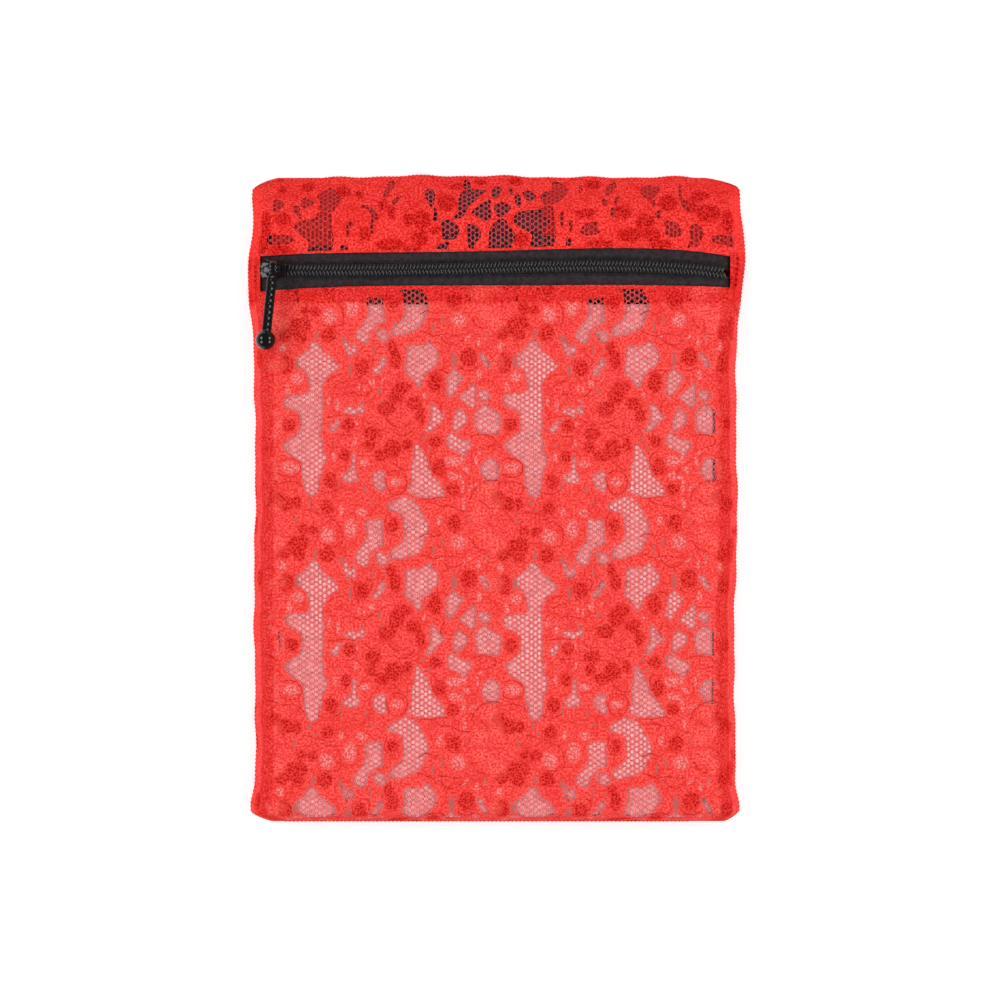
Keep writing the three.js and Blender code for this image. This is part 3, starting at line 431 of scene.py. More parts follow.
def mesh_of(name, points, faces, attributes=(), edges=()):
    """A mesh from points in millimetres, with named point attributes."""
    mesh = bpy.data.meshes.new(name)
    faces = [[int(v) for v in face] for face in faces]
    mesh.from_pydata((np.asarray(points, float) * MM).tolist(), list(edges), faces)
    for key, values in dict(attributes).items():
        values = np.asarray(values, np.float32)
        kind, field = ("FLOAT", "value") if values.ndim == 1 else ("FLOAT_VECTOR", "vector")
        mesh.attributes.new(key, kind, "POINT").data.foreach_set(field, values.ravel())
    mesh.update()
    return mesh


def crossed(first, second):
    """Every pairing of two rows of values, as two long rows."""
    return (grid.ravel() for grid in np.meshgrid(first, second, indexing="ij"))


def grid_faces(rows, columns):
    """Quads over a grid of points that come row by row."""
    at = np.arange(rows * columns).reshape(rows, columns)
    quads = np.stack([at[:-1, :-1], at[1:, :-1], at[1:, 1:], at[:-1, 1:]], -1)
    return quads.reshape(-1, 4)


def sheet_points(xs, ys, height):
    """Points of a grid, each at its height."""
    x, y = crossed(xs, ys)
    return np.column_stack([x, y, height(x, y)])


def round_steps(count):
    """Even steps of an angle, once round."""
    return np.linspace(0, 2 * np.pi, count, endpoint=False)


def bent(values, power):
    """A power that keeps the sign: under 1 it squares a circle's shoulders, over 1 it draws them in."""
    return np.sign(values) * np.abs(values) ** power


# Surfaces


def principled(name, **values):
    """A new material, its nodes, and its shader with some inputs set."""
    finish = bpy.data.materials.new(name)
    finish.use_nodes = True
    tree = finish.node_tree
    shader = tree.nodes["Principled BSDF"]
    for key, value in values.items():
        shader.inputs[key.replace("_", " ")].default_value = value
    return finish, tree, shader


def bump(tree, shader, height, distance, strength=1.0):
    made = add_node(tree, "ShaderNodeBump", {"Height": height, "Distance": distance, "Strength": strength})
    tree.links.new(made.outputs[0], shader.inputs["Normal"])


def mix_colour(tree, share, first, second):
    node = add_node(tree, "ShaderNodeMix", data_type="RGBA")
    colours = [s for s in node.inputs if s.type == "RGBA"]
    for target, value in ((node.inputs[0], share), (colours[0], first), (colours[1], second)):
        if isinstance(value, bpy.types.NodeSocket):
            tree.links.new(value, target)
        else:
            target.default_value = value
    return [s for s in node.outputs if s.type == "RGBA"][0]


def ramp(tree, value, low, high):
    """A smooth rise from 0 at a low value to 1 at a high one."""
    node = add_node(tree, "ShaderNodeMapRange", {0: value, 1: low, 2: high}, interpolation_type="SMOOTHSTEP")
    return node.outputs[0]


def object_places(tree):
    return add_node(tree, "ShaderNodeTexCoord").outputs["Object"]


def noise(tree, where, scale, detail=1.0):
    inputs = {"Vector": where, "Scale": scale, "Detail": detail}
    return add_node(tree, "ShaderNodeTexNoise", inputs).outputs[0]


def bent_places(tree, where, scale, reach):
    """Places moved about by noise, so that a pattern on them isn't regular."""
    shift = add_node(tree, "ShaderNodeTexNoise", {"Vector": where, "Scale": scale}).outputs["Color"]
    return vector_node(tree, "ADD", {0: where, 1: vector_node(tree, "SCALE", {0: shift, "Scale": reach})})


def weave_effect():
    """Crossing yarns with loose fibres: how high the cloth stands."""
    tree = bpy.data.node_groups.new("Weave", "ShaderNodeTree")
    socket(tree, "Across", "NodeSocketFloat", default=8000.0)
    socket(tree, "Along", "NodeSocketFloat", default=8000.0)
    socket(tree, "Height", "NodeSocketFloat", is_input=False)
    given = tree.nodes.new("NodeGroupInput").outputs
    out = tree.nodes.new("NodeGroupOutput").inputs
    where = object_places(tree)
    axis = add_node(tree, "ShaderNodeSeparateXYZ", {0: where}).outputs
    wave_x = math_node(tree, "SINE", math_node(tree, "MULTIPLY", axis[0], given["Across"]))
    wave_y = math_node(tree, "SINE", math_node(tree, "MULTIPLY", axis[1], given["Along"]))
    yarns = math_node(tree, "MULTIPLY", math_node(tree, "MULTIPLY", wave_x, wave_y), 0.5)
    fibres = noise(tree, where, 2600.0, 2.0)
    tree.links.new(math_node(tree, "ADD", yarns, fibres), out["Height"])
    return tree


WEAVE = weave_effect()


def lace_finish():
    """Red lace yarn: grainy petals, darker hearts, thin cloth by the windows, and painted shade in the
    hearts' piercings, the slits, along the hem creases and on the layers under other lace.
    """
    finish, tree, shader = principled("red_lace", Roughness=0.9, Specular_IOR_Level=0.0)
    slack = add_node(tree, "ShaderNodeAttribute", attribute_name="slack").outputs["Vector"]
    where = vector_node(tree, "ADD", {0: object_places(tree), 1: slack})
    given = {}
    for key in ("heart", "pale", "thin", "ink", "inset", "slit", "net", "sunk"):
        given[key] = add_node(tree, "ShaderNodeAttribute", attribute_name=key).outputs["Fac"]
    both = lambda a, b: math_node(tree, "MULTIPLY", a, b)
    less = lambda a, b: math_node(tree, "SUBTRACT", a, b)

    spots = {"Vector": bent_places(tree, where, 1900.0, 0.0007), "Scale": 1250.0, "Randomness": 0.9}
    cells = add_node(tree, "ShaderNodeTexVoronoi", spots, voronoi_dimensions="2D").outputs["Distance"]
    pit = less(1.0, ramp(tree, cells, 0.26, 0.46))
    grain = ramp(tree, noise(tree, where, 1500.0, 2.0), 0.34, 0.66)
    patchy = ramp(tree, noise(tree, where, 420.0), 0.25, 0.6)
    shade = ramp(tree, noise(tree, where, 95.0, 3.0), 0.46, 0.7)
    spots = {"Vector": bent_places(tree, where, 170.0, 0.006), "Scale": 150.0}
    petals = add_node(tree, "ShaderNodeTexVoronoi", spots, voronoi_dimensions="2D",
                      feature="DISTANCE_TO_EDGE")
    outline = less(1.0, ramp(tree, petals.outputs["Distance"], 0.02, 0.1))
    # Painted shade: a dark line along the hem's edge, in from each side crease, where the bump also sinks the
    # cloth
    from_hem = math_node(tree, "ABSOLUTE", less(given["inset"], HEM_FROM))
    crease = less(1.0, ramp(tree, from_hem, 0.15, 0.75))
    # Hearts are worked darker, and their piercings are painted dark: painted shade seen through them into the
    # cloth behind
    core = ramp(tree, given["heart"], 0.05, 0.7)
    shaded_piercings = both(both(pit, core), ramp(tree, patchy, -0.9, 0.9))

    # Each colour over pale cloth, and where ink says that dark or red cloth lies behind
    inked = lambda over_pale, over_dark: mix_colour(tree, given["ink"], over_pale, over_dark)
    light = inked((0.85, 0.092, 0.083, 1), (0.90, 0.066, 0.058, 1))
    deep = inked((0.63, 0.022, 0.018, 1), (0.57, 0.005, 0.004, 1))
    # dark: painted shade seen through the hearts' piercings
    dark = inked((0.32, 0.002, 0.002, 1), (0.20, 0.002, 0.002, 1))
    thread = inked((0.66, 0.095, 0.095, 1), (0.58, 0.058, 0.066, 1))
    # Painted shade seen through the slits and seam gaps, darker where dark cloth lies behind
    backed = ramp(tree, given["ink"], 0.4, 0.7)
    gap_shade = mix_colour(tree, backed, (0.34, 0.105, 0.095, 1), (0.12, 0.002, 0.002, 1))
    pinhole = (0.90, 0.17, 0.13, 1)
    thin_cloth = (0.58, 0.085, 0.08, 1)
    thin_pinhole = (0.86, 0.26, 0.25, 1)
    crease_shade = (0.34, 0.004, 0.003, 1)
    # Painted shade on the facings and the turned-in seam lace that lie under other lace, and a slight
    # darkening of the sunk stitch lines
    sunk_and_shaded = (0.24, 0.006, 0.005, 1)

    # Where each further colour goes over the grain, the last on top
    layers = (
        (both(shade, 0.3), deep),
        (both(both(outline, patchy), 0.55), deep),
        (both(core, 0.6), deep),
        (both(shaded_piercings, 0.9), dark),
        (both(both(pit, given["pale"]), 0.5), pinhole),
        (both(given["thin"], 0.75), thin_cloth),
        (both(both(pit, given["thin"]), 0.8), thin_pinhole),
        (both(crease, 0.45), crease_shade),
        (given["net"], thread),
        (both(given["slit"], 0.8), gap_shade),
        (given["sunk"], sunk_and_shaded),
    )
    tone = mix_colour(tree, grain, deep, light)
    for share, colour in layers:
        tone = mix_colour(tree, share, tone, colour)
    tree.links.new(tone, shader.inputs["Base Color"])
    hollow = math_node(tree, "ADD", both(pit, 0.4), both(outline, 0.6))
    bump(tree, shader, less(less(both(grain, 0.5), hollow), crease), 0.0002, 0.4)
    return finish


def cloth_finish(name, dark, light, across, along, depth):
    """Woven cloth: how close its yarns lie across and along it, and how deep the weave is."""
    finish, tree, shader = principled(name, Roughness=0.9, Sheen_Weight=0.05, Specular_IOR_Level=0.15)
    woven = add_node(tree, "ShaderNodeGroup", {"Across": across, "Along": along}, node_tree=WEAVE)
    height = woven.outputs["Height"]
    blotches = noise(tree, object_places(tree), 760.0)
    uneven = math_node(tree, "ADD", math_node(tree, "MULTIPLY", height, 0.4), blotches)
    tone = mix_colour(tree, ramp(tree, uneven, 0.38, 0.98), dark, light)
    tree.links.new(tone, shader.inputs["Base Color"])
    bump(tree, shader, height, depth)
    return finish


def gel_finish():
    """Soaked gel, pale and lumpy."""
    finish, tree, shader = principled("clear_gel", Roughness=0.15, IOR=1.34)
    spots = {"Vector": object_places(tree), "Scale": 420.0}
    lumps = add_node(tree, "ShaderNodeTexVoronoi", spots).outputs["Distance"]
    tone = mix_colour(tree, lumps, (0.72, 0.84, 0.88, 1), (0.5, 0.66, 0.72, 1))
    tree.links.new(tone, shader.inputs["Base Color"])
    bump(tree, shader, lumps, 0.0006)
    return finish


def coil_finish():
    """Black nylon, a little hazy."""
    finish, tree, shader = principled("black_nylon")
    haze = noise(tree, object_places(tree), 900.0, 2.0)
    tone = mix_colour(tree, haze, (0.020, 0.018, 0.019, 1), (0.042, 0.038, 0.040, 1))
    tree.links.new(tone, shader.inputs["Base Color"])
    tree.links.new(ramp(tree, haze, -0.4, 2.7), shader.inputs["Roughness"])
    return finish


def lacquer_finish():
    """Black lacquer, a little rubbed."""
    looks = {"Coat_Weight": 0.1, "Coat_Roughness": 0.04, "Specular_IOR_Level": 0.26}
    finish, tree, shader = principled("black_lacquer", **looks)
    rub = noise(tree, object_places(tree), 600.0, 3.0)
    tone = mix_colour(tree, rub, (0.001, 0.001, 0.0012, 1), (0.002, 0.002, 0.0025, 1))
    tree.links.new(tone, shader.inputs["Base Color"])
    tree.links.new(ramp(tree, rub, -0.15, 3.6), shader.inputs["Roughness"])
    bump(tree, shader, rub, 0.00003, 0.5)
    return finish


LACE = lace_finish()
TAPE_CLOTH = cloth_finish("black_tape", (0.014, 0.010, 0.012, 1), (0.034, 0.026, 0.029, 1),
                          across=7000.0, along=9000.0, depth=0.00012)
DUSKY_CLOTH = cloth_finish("dusky_lining", (0.06, 0.011, 0.013, 1), (0.11, 0.024, 0.027, 1),
                           across=9000.0, along=9000.0, depth=0.0001)
LINING_CLOTH = cloth_finish("black_lining", (0.03, 0.022, 0.026, 1), (0.06, 0.044, 0.05, 1),
                            across=9000.0, along=9000.0, depth=0.0001)
# The insert cloth's pink is painted light: the red cast that light takes through and off the lace
INSERT_CLOTH = cloth_finish("pale_cloth", (0.74, 0.24, 0.25, 1), (0.97, 0.47, 0.47, 1),
                            across=8000.0, along=8000.0, depth=0.0001)
GEL = gel_finish()
COIL = coil_finish()
LACQUER = lacquer_finish()


# How the cloth lies


def hump(at, middle, reach):
    """A smooth rise to 1 about a middle place."""
    return np.exp(-(((at - middle) / reach) ** 2))


def climb(at, start, run):
    """From 0 at a start to 1 after a run."""
    return np.clip((at - start) / run, 0, 1)


def half_width(y, side):
    """Half the pouch's width on one side: flared at the zip and the corners, and uneven."""
    flare = ZIP_FLARE * hump(y, CHAIN_Y, FLARE_REACH)
    flare = flare + CORNER_FLARE * hump(np.abs(y), CORNER_AT, CORNER_REACH)
    # Each side bulges in its own places
    left = 0.75 + 0.5 * hump(y, 57, 9)
    right = 0.55 * climb(y, -30, 20) + 1.2 * hump(y, 85, 7)
    uneven = 0.22 * np.sin(y / 13 + 2.2 * side) + 0.16 * np.sin(y / 4.1 + side) + 0.12 * np.sin(y / 2.3)
    uneven = uneven + np.where(side > 0, right, left)
    (top_left, top_right), (low_left, low_right) = np.array(TOP_CORNERS), np.array(LOW_CORNERS)
    across, along = (np.where(y > 0, np.where(side > 0, top_right[k], top_left[k]),
                              np.where(side > 0, low_right[k], low_left[k])) for k in (0, 1))
    near = 1 - np.clip((TOP_FOLD - np.abs(y)) / along, 0, 1)
    return BODY_HALF + flare + uneven - across * (1 - (1 - near**1.3) ** (1 / 1.3))


def rolled(run):
    """Over a rolled edge: cloth length from the crease, distance in plan and share of the rise."""
    plan = np.linspace(0, run, 80)
    rise = np.sin(np.pi / 2 * plan / run)
    step = np.hypot(np.diff(plan), np.diff(rise) * (FRONT_Z - CREASE_Z))
    return np.concatenate([[0], np.cumsum(step)]), plan, rise


SIDE_CURVE, BOTTOM_CURVE, HEADER_CURVE = rolled(SIDE_ROLL), rolled(BOTTOM_ROLL), rolled(HEADER_ROLL)
# Where the front cloth ends at the bottom crease and at the top one, as lengths along it
CLOTH_LOW = -TOP_FOLD + BOTTOM_ROLL - BOTTOM_CURVE[0][-1]
CLOTH_HIGH = TOP_FOLD - HEADER_ROLL + HEADER_CURVE[0][-1]


def stray(curve, x):
    """How far something sewn strays from the chain's line."""
    return np.polyval(curve, np.clip(np.asarray(x) / STRAY_SPAN, -1.02, 1.02))


def along_cloth(t):
    """Place along the pouch, and share of full height, at a length t along the front cloth."""
    low, high = -TOP_FOLD + BOTTOM_ROLL, TOP_FOLD - HEADER_ROLL
    cloth, plan, rise = BOTTOM_CURVE
    left = cloth[-1] - (low - t)
    y = np.where(t < low, -TOP_FOLD + np.interp(left, cloth, plan), t)
    up = np.where(t < low, np.interp(left, cloth, rise), 1.0)
    cloth, plan, rise = HEADER_CURVE
    left = cloth[-1] - (t - high)
    y = np.where(t > high, TOP_FOLD - np.interp(left, cloth, plan), y)
    return y, np.where(t > high, np.interp(left, cloth, rise), up)


def top_edge(x):
    """How far the top fold strays from a straight line."""
    wave = 0.28 * np.sin(x / 15.5 + 2.6) + 0.22 * np.sin(x / 4.3 + 1) + 0.16 * np.sin(x / 2.1)
    return 0.35 - 0.9 * climb(np.abs(x - 4), 40, 32) ** 2 + wave


def lay(s, t, under=0.0):
    """Where a point of the front cloth lies: s across it and t along it. Layers lie under one another."""
    y, up = along_cloth(t)
    cloth, plan, rise = SIDE_CURVE
    side = half_width(y, np.sign(s))
    over = np.abs(s) - (side - SIDE_ROLL)
    left = cloth[-1] - np.maximum(over, 0)
    x = np.sign(s) * np.where(over > 0, side - np.interp(left, cloth, plan), np.abs(s))
    up = up * np.where(over > 0, np.interp(left, cloth, rise), 1.0)
    ripple = 0.08 * np.sin(x / 9.0 + y / 14.0) + 0.06 * np.sin(y / 6.5 - x / 17.0)
    z = CREASE_Z + (FRONT_Z - CREASE_Z + ripple - under) * up
    y = y + top_edge(x) * climb(y, 88, 12)
    return np.stack([x - np.sign(s) * under * (1 - up), y, z], -1)


def edge_s(t, side):
    """Cloth length from the middle to the side crease."""
    return half_width(along_cloth(t)[0], side) - SIDE_ROLL + SIDE_CURVE[0][-1]


def side_edges(t):
    """The front cloth's edges along the side creases: up the right, then down the left."""
    right = np.stack([edge_s(t, 1.0), t], -1)
    left = np.stack([-edge_s(t, -1.0), t], -1)
    return right, left[::-1]


def s_at(x, t):
    """The place across the cloth that lies at x."""
    side = half_width(along_cloth(t)[0], np.sign(x))
    over = np.abs(x) > side - SIDE_ROLL
    on_roll = side - SIDE_ROLL + SIDE_CURVE[0][-1] - np.interp(side - np.abs(x), SIDE_CURVE[1], SIDE_CURVE[0])
    return np.sign(x) * np.where(over, on_roll, np.abs(x))


def lay_back(x, y):
    """Where a point of the back lace lies: flat below, turned up to meet the creases all round."""
    near = np.minimum(half_width(y, np.sign(x)) - np.abs(x), TOP_FOLD - np.abs(y))
    return np.stack([x, y, 0.3 + (CREASE_Z - 0.35) * np.clip(1 - near / 2.5, 0, 1) ** 2], -1)


# Cutting lace: a close cloth with smooth windows, and a net of six-sided meshes behind them


def even_steps(loop, spacing):
    """A closed line again, in even steps."""
    closed = np.concatenate([loop, loop[:1]])
    length = np.concatenate([[0], np.cumsum(np.linalg.norm(np.diff(closed, axis=0), axis=1))])
    at = np.linspace(0, length[-1], max(6, round(length[-1] / spacing)), endpoint=False)
    return np.stack([np.interp(at, length, closed[:, k]) for k in (0, 1)], -1)


def smooth_loop(points, spacing=0.7):
    """A smooth closed curve through points, in even steps."""
    b = np.asarray(points, float)
    a, c, d = np.roll(b, 1, axis=0), np.roll(b, -1, axis=0), np.roll(b, -2, axis=0)
    u = np.linspace(0, 1, 8, endpoint=False)[None, :, None]
    a, b, c, d = (p[:, None, :] for p in (a, b, c, d))
    curve = 0.5 * (2 * b + (c - a) * u + (2 * a - 5 * b + 4 * c - d) * u**2 + (3 * b - a - 3 * c + d) * u**3)
    return even_steps(curve.reshape(-1, 2), spacing)


def smooth_line(points):
    """A smooth open line through points: half of the closed curve that runs along it and back."""
    there_and_back = np.concatenate([points, points[-2:0:-1]])
    curve = smooth_loop(there_and_back, 0.5)
    return curve[: len(curve) // 2 + 1]


def area(points):
    x, y = np.array(points, float).T
    return abs(np.sum(x * np.roll(y, -1) - y * np.roll(x, -1))) / 2


def oval(x, y, rx, ry):
    turn = round_steps(20)
    return np.stack([x + rx * np.cos(turn), y + ry * np.sin(turn)], -1)


def inside(points, loop):
    """Which points lie inside a closed curve."""
    hit = np.zeros(len(points), bool)
    near = np.all((points > loop.min(0)) & (points < loop.max(0)), axis=1)
    if not near.any():
        return hit
    p = points[near]
    odd = np.zeros(len(p), bool)
    for a, b in zip(loop, np.roll(loop, -1, axis=0)):
        if a[1] != b[1]:
            crosses = (a[1] > p[:, 1]) != (b[1] > p[:, 1])
            odd ^= crosses & (p[:, 0] < a[0] + (p[:, 1] - a[1]) * (b[0] - a[0]) / (b[1] - a[1]))
    hit[near] = odd
    return hit


def inside_any(points, loops):
    found = np.zeros(len(points), bool)
    for loop in loops:
        found |= inside(points, loop)
    return found


def reach(points, rims):
    """Distance from each point to the nearest point of some curves."""
    if not len(rims):
        return np.full(len(points), np.inf)
    tree = KDTree(len(rims))
    for i, p in enumerate(rims):
        tree.insert((*p, 0), i)
    tree.balance()
    return np.array([tree.find((*p, 0))[2] for p in points])


def hex_grid(low, high, pitch):
    """Centres of six-sided cells, pitch apart along the pouch."""
    xs = np.arange(low[0], high[0], pitch * math.sqrt(3) / 2 * NET_SQUEEZE)
    ys = np.arange(low[1], high[1], pitch)
    grid = np.stack(np.meshgrid(xs, ys, indexing="ij"), -1)
    grid[1::2, :, 1] += pitch / 2
    return grid.reshape(-1, 2)


def drift(points):
    """Away from the best-kept repeat of the pattern, the lace has stretched a little."""
    p = np.asarray(points, float)
    best = REPEAT_AT + REPEAT * (0.5, -0.5)
    away = np.clip(np.abs(p - best) / REPEAT - 0.6, 0, 1).max(-1, keepdims=True)
    shift = np.stack([np.sin(p[:, 1] / 13.0 + p[:, 0] / 29.0), np.sin(p[:, 0] / 11.0 - p[:, 1] / 23.0)], -1)
    return p + 0.8 * shift * away


def plain_cut(windows=()):
    """What a lace is cut and worked with: windows, and none of the finer work so far."""
    return {"windows": list(windows), "thin": [], "fine": [], "slits": [], "gaps": []}


def pattern(low, high, mirrored=False):
    """All that the repeat cuts and works over a stretch of cloth."""
    cut = plain_cut() | {"hearts": [], "pale": [], "lines": []}
    first = np.floor((low - REPEAT_AT) / REPEAT).astype(int)
    last = np.ceil((high - REPEAT_AT) / REPEAT).astype(int) + 1
    turn = np.array([-1 if mirrored else 1, 1])
    fits = lambda loop: np.all(loop.max(0) > low) and np.all(loop.min(0) < high)
    large = [w for w in WINDOWS if area(w) > SMALL_WINDOW]
    small = [w for w in WINDOWS if area(w) <= SMALL_WINDOW]
    for i in range(first[0], last[0]):
        for j in range(first[1], last[1] + 1):
            at = REPEAT_AT + REPEAT * (i, j)
            loops = {
                "windows": [smooth_loop(drift(np.array(w) + at)) for w in large],
                "thin": [smooth_loop(drift(np.array(w) + at)) for w in small],
                "lines": [drift(smooth_line(np.array(w)) + at) for w in PETAL_LINES],
            }
            for key, made in loops.items():
                cut[key] += [w * turn for w in made if fits(w)]
            ovals = {"fine": FINE_WINDOWS, "slits": SLITS, "hearts": HEARTS, "pale": PALE_PETALS}
            for key, made in ovals.items():
                made = [(*(drift([at + w[:2]])[0] * turn), *w[2:]) for w in np.array(made)]
                cut[key] += [w for w in made if np.all(w[:2] > low) and np.all(w[:2] < high)]
    return cut


def worked(points, ovals):
    """How far each point lies inside worked ovals, from 0 outside to 1 well inside."""
    depth = np.zeros(len(points))
    for x, y, rx, ry in ovals:
        away = np.hypot((points[:, 0] - x) / rx, (points[:, 1] - y) / ry)
        depth = np.maximum(depth, np.clip((1.25 - away) * 2, 0, 1))
    return depth


def clear_rings(rings, hem, loops):
    """Those of some rings that lie wholly within a hem and outside some loops."""
    if not rings:
        return []
    points = np.concatenate(rings)
    clear = inside(points, hem) & ~inside_any(points, loops)
    starts = np.cumsum([0] + [len(ring) for ring in rings])
    return [ring for ring, start in zip(rings, starts) if np.all(clear[start : start + len(ring)])]


def worked_rings(ovals):
    """Two rings for each worked oval, so that the mesh follows its edge: one within it and one round it."""
    sizes = [(x, y, rx * k, ry * k) for x, y, rx, ry in ovals for k in (0.6, 1.3)]
    return [even_steps(oval(*size), 0.6) for size in sizes]


def cut_lace(outline, hem, cut, spacing):
    """Cuts windows from a cloth within its hem.

    Gives its points, its triangles, the net's cells, and each point's distance from a window's rim.
    """
    loops = [loop for loop in cut["windows"] if np.any(inside(loop, outline))]
    soft = worked_rings(cut["fine"] + cut["slits"])
    soft += [ring for loop in cut["thin"] for ring in (loop, loop.mean(0) + (loop - loop.mean(0)) * 0.5)]
    soft = clear_rings(soft, hem, loops) + worked_rings(cut["gaps"])
    rims = np.concatenate([outline, hem, *loops, *soft])
    grid = hex_grid(outline.min(0), outline.max(0), spacing)
    grid = grid[inside(grid, outline) & ~(inside_any(grid, loops) & inside(grid, hem))]
    grid = grid[reach(grid, rims) > 0.5 * spacing]
    points, edges, count = [grid], [], len(grid)
    for loop in [outline, hem] + loops + soft:
        edges += [(count + i, count + (i + 1) % len(loop)) for i in range(len(loop))]
        points.append(loop)
        count += len(loop)
    made = delaunay_2d_cdt([Vector(p) for p in np.concatenate(points)], edges, [], 0, 1e-5)
    flat = np.array([tuple(p) for p in made[0]])
    faces = np.array(made[2])
    middle = flat[faces].mean(1)
    faces = faces[inside(middle, outline) & ~(inside_any(middle, loops) & inside(middle, hem))]
    used, faces = np.unique(faces, return_inverse=True)

    rims = np.concatenate(loops) if loops else []
    cells = hex_grid(outline.min(0), outline.max(0), NET_CELL)
    cells = cells + 0.09 * np.sin(cells[:, ::-1] * (2.9, 3.7)) + 0.12 * np.sin(cells * (1.3, 1.1))
    cells = cells[inside(cells, hem) | (reach(cells, hem) < 0.7)]
    cells = cells[inside_any(cells, loops) | (reach(cells, rims) < 0.7)]
    cells = cells[inside(cells, outline) & (reach(cells, outline) > 0.85)]
    return flat[used], faces.reshape(-1, 3), cells, reach(flat[used], rims)


def stitched_lines(lines, width):
    """Thin ribbons along lines on the cloth: their points and triangles."""
    points, faces, count = [], [], 0
    for line in lines:
        step = np.gradient(line, axis=0)
        length = np.linalg.norm(step, axis=1, keepdims=True) + 1e-9
        across = np.stack([-step[:, 1], step[:, 0]], -1) / length
        points += [line + across * width / 2, line - across * width / 2]
        left = count + np.arange(len(line) - 1)
        right = left + len(line)
        faces += [np.stack([left, right, left + 1], -1), np.stack([right, right + 1, left + 1], -1)]
        count += 2 * len(line)
    return np.concatenate(points), np.concatenate(faces)


def named_values(tree, name, kind):
    return add_node(tree, "GeometryNodeInputNamedAttribute", {"Name": name}, data_type=kind).outputs[0]


def net_tree():
    """Sets one thread-edged mesh of the net on each loose point of a cut lace."""
    inputs = [("Cell", "NodeSocketFloat", NET_CELL * MM), ("Thread", "NodeSocketFloat", NET_THREAD * MM),
              ("Material", "NodeSocketMaterial", None)]
    tree, given, out = geometry_tree("Lace net", inputs)
    on_net = {0: named_values(tree, "net", "FLOAT"), 1: 0.5}
    chosen = add_node(tree, "FunctionNodeCompare", on_net, operation="GREATER_THAN").outputs[0]
    parted = add_node(tree, "GeometryNodeSeparateGeometry", {0: given["Geometry"], 1: chosen}).outputs
    radius = math_node(tree, "DIVIDE", given["Cell"], math.sqrt(3))
    circle = add_node(tree, "GeometryNodeMeshCircle", {"Vertices": 6, "Radius": radius}).outputs[0]
    rim = {"Mesh": circle, "Offset Scale": 0.0}
    grown = add_node(tree, "GeometryNodeExtrudeMesh", rim, mode="EDGES").outputs
    share = math_node(tree, "SUBTRACT", 1.0, math_node(tree, "DIVIDE", given["Thread"], given["Cell"]))
    at = add_node(tree, "GeometryNodeInputPosition").outputs[0]
    drawn = vector_node(tree, "SCALE", {0: at, "Scale": share})
    ring = add_node(tree, "GeometryNodeSetPosition",
                    {"Geometry": grown["Mesh"], "Selection": grown["Top"], "Position": drawn}).outputs[0]
    up = {"Vector": named_values(tree, "up", "FLOAT_VECTOR")}
    turn = add_node(tree, "FunctionNodeAlignRotationToVector", up, axis="Z").outputs[0]
    laid = {"Points": parted[0], "Instance": ring, "Rotation": turn, "Scale": (NET_SQUEEZE, 1, 1)}
    net = add_node(tree, "GeometryNodeInstanceOnPoints", laid).outputs[0]
    whole = add_node(tree, "GeometryNodeJoinGeometry")
    tree.links.new(net, whole.inputs[0])
    tree.links.new(parted[1], whole.inputs[0])
    end_tree(tree, whole.outputs[0], given, out)
    return tree


NET = net_tree()


def lace_mesh(name, lay_it, flat, faces, cells, looks, thread=NET_THREAD, net=1.0, net_ink=0.0):
    """Lace as one mesh: the close cloth laid in its place, with its net just behind it.

    Its looks and its slack, the way back from a laid point to the flat cloth, are kept for its finish.
    """
    at = lay_it(flat[:, 0], flat[:, 1])
    spot = lay_it(cells[:, 0], cells[:, 1])
    side = lay_it(cells[:, 0] + 0.1, cells[:, 1]) - lay_it(cells[:, 0] - 0.1, cells[:, 1])
    ahead = lay_it(cells[:, 0], cells[:, 1] + 0.1) - lay_it(cells[:, 0], cells[:, 1] - 0.1)
    up = np.cross(side, ahead)
    up /= np.linalg.norm(up, axis=1, keepdims=True) + 1e-9
    none, plain = np.zeros(len(at)), np.zeros(len(cells))
    behind = NET_BEHIND if lay_it is lay_back else -NET_BEHIND
    at[:, 2] += LINE_RAISED * looks.get("line", none)
    on_net = {"inset": FAR_IN, "ink": net_ink}
    attributes = {"inset": np.full(len(at) + len(cells), FAR_IN)}
    for key, values in looks.items():
        attributes[key] = np.concatenate([values, plain + on_net.get(key, 0.0)])
    attributes["net"] = np.concatenate([none, plain + net])
    attributes["up"] = np.concatenate([np.zeros((len(at), 3)), up])
    unlaid = np.column_stack([np.concatenate([flat, cells]), np.zeros(len(flat) + len(cells))])
    attributes["slack"] = (unlaid - np.concatenate([at, spot])) * MM
    base = mesh_of(name, np.concatenate([at, spot + behind * up]), faces, attributes)
    return run_tree(name, base, NET, {"Material": LACE, "Thread": thread * MM})


def thinness(flat, cut, from_rim):
    """How thin the cloth is worked: in small windows, and a little along the rims of large ones."""
    within = inside_any(flat, cut["thin"])
    rims = np.concatenate(cut["thin"]) if cut["thin"] else []
    small = within * np.clip(reach(flat, rims) / 0.45, 0, 1)
    return np.maximum.reduce([small, worked(flat, cut["fine"]), 0.35 * (from_rim < 0.05)])


def from_side(flat):
    """Distance in plan from the nearer side crease."""
    at = lay(flat[:, 0], flat[:, 1])
    return half_width(at[:, 1], np.sign(flat[:, 0])) - np.abs(at[:, 0])


def front_outline():
    """The front lace's cut edge on the cloth: up the right, along the zip, down the left, round the fold."""
    right, left = side_edges(np.linspace(CLOTH_LOW, STRIP_TOP, 200))
    ends = s_at(np.array([TAPE_RIGHT + 0.3, TAPE_LEFT - 0.3]), np.full(2, CHAIN_Y))
    x = np.linspace(ends[0], ends[1], 200)
    lip = np.stack([x, CHAIN_Y + stray(FRONT_EDGE, x) + 0.04 * np.sin(x / 1.1)], -1)
    return even_steps(np.concatenate([right, [(ends[0], STRIP_TOP)], lip, [(ends[1], STRIP_TOP)], left]), 0.9)


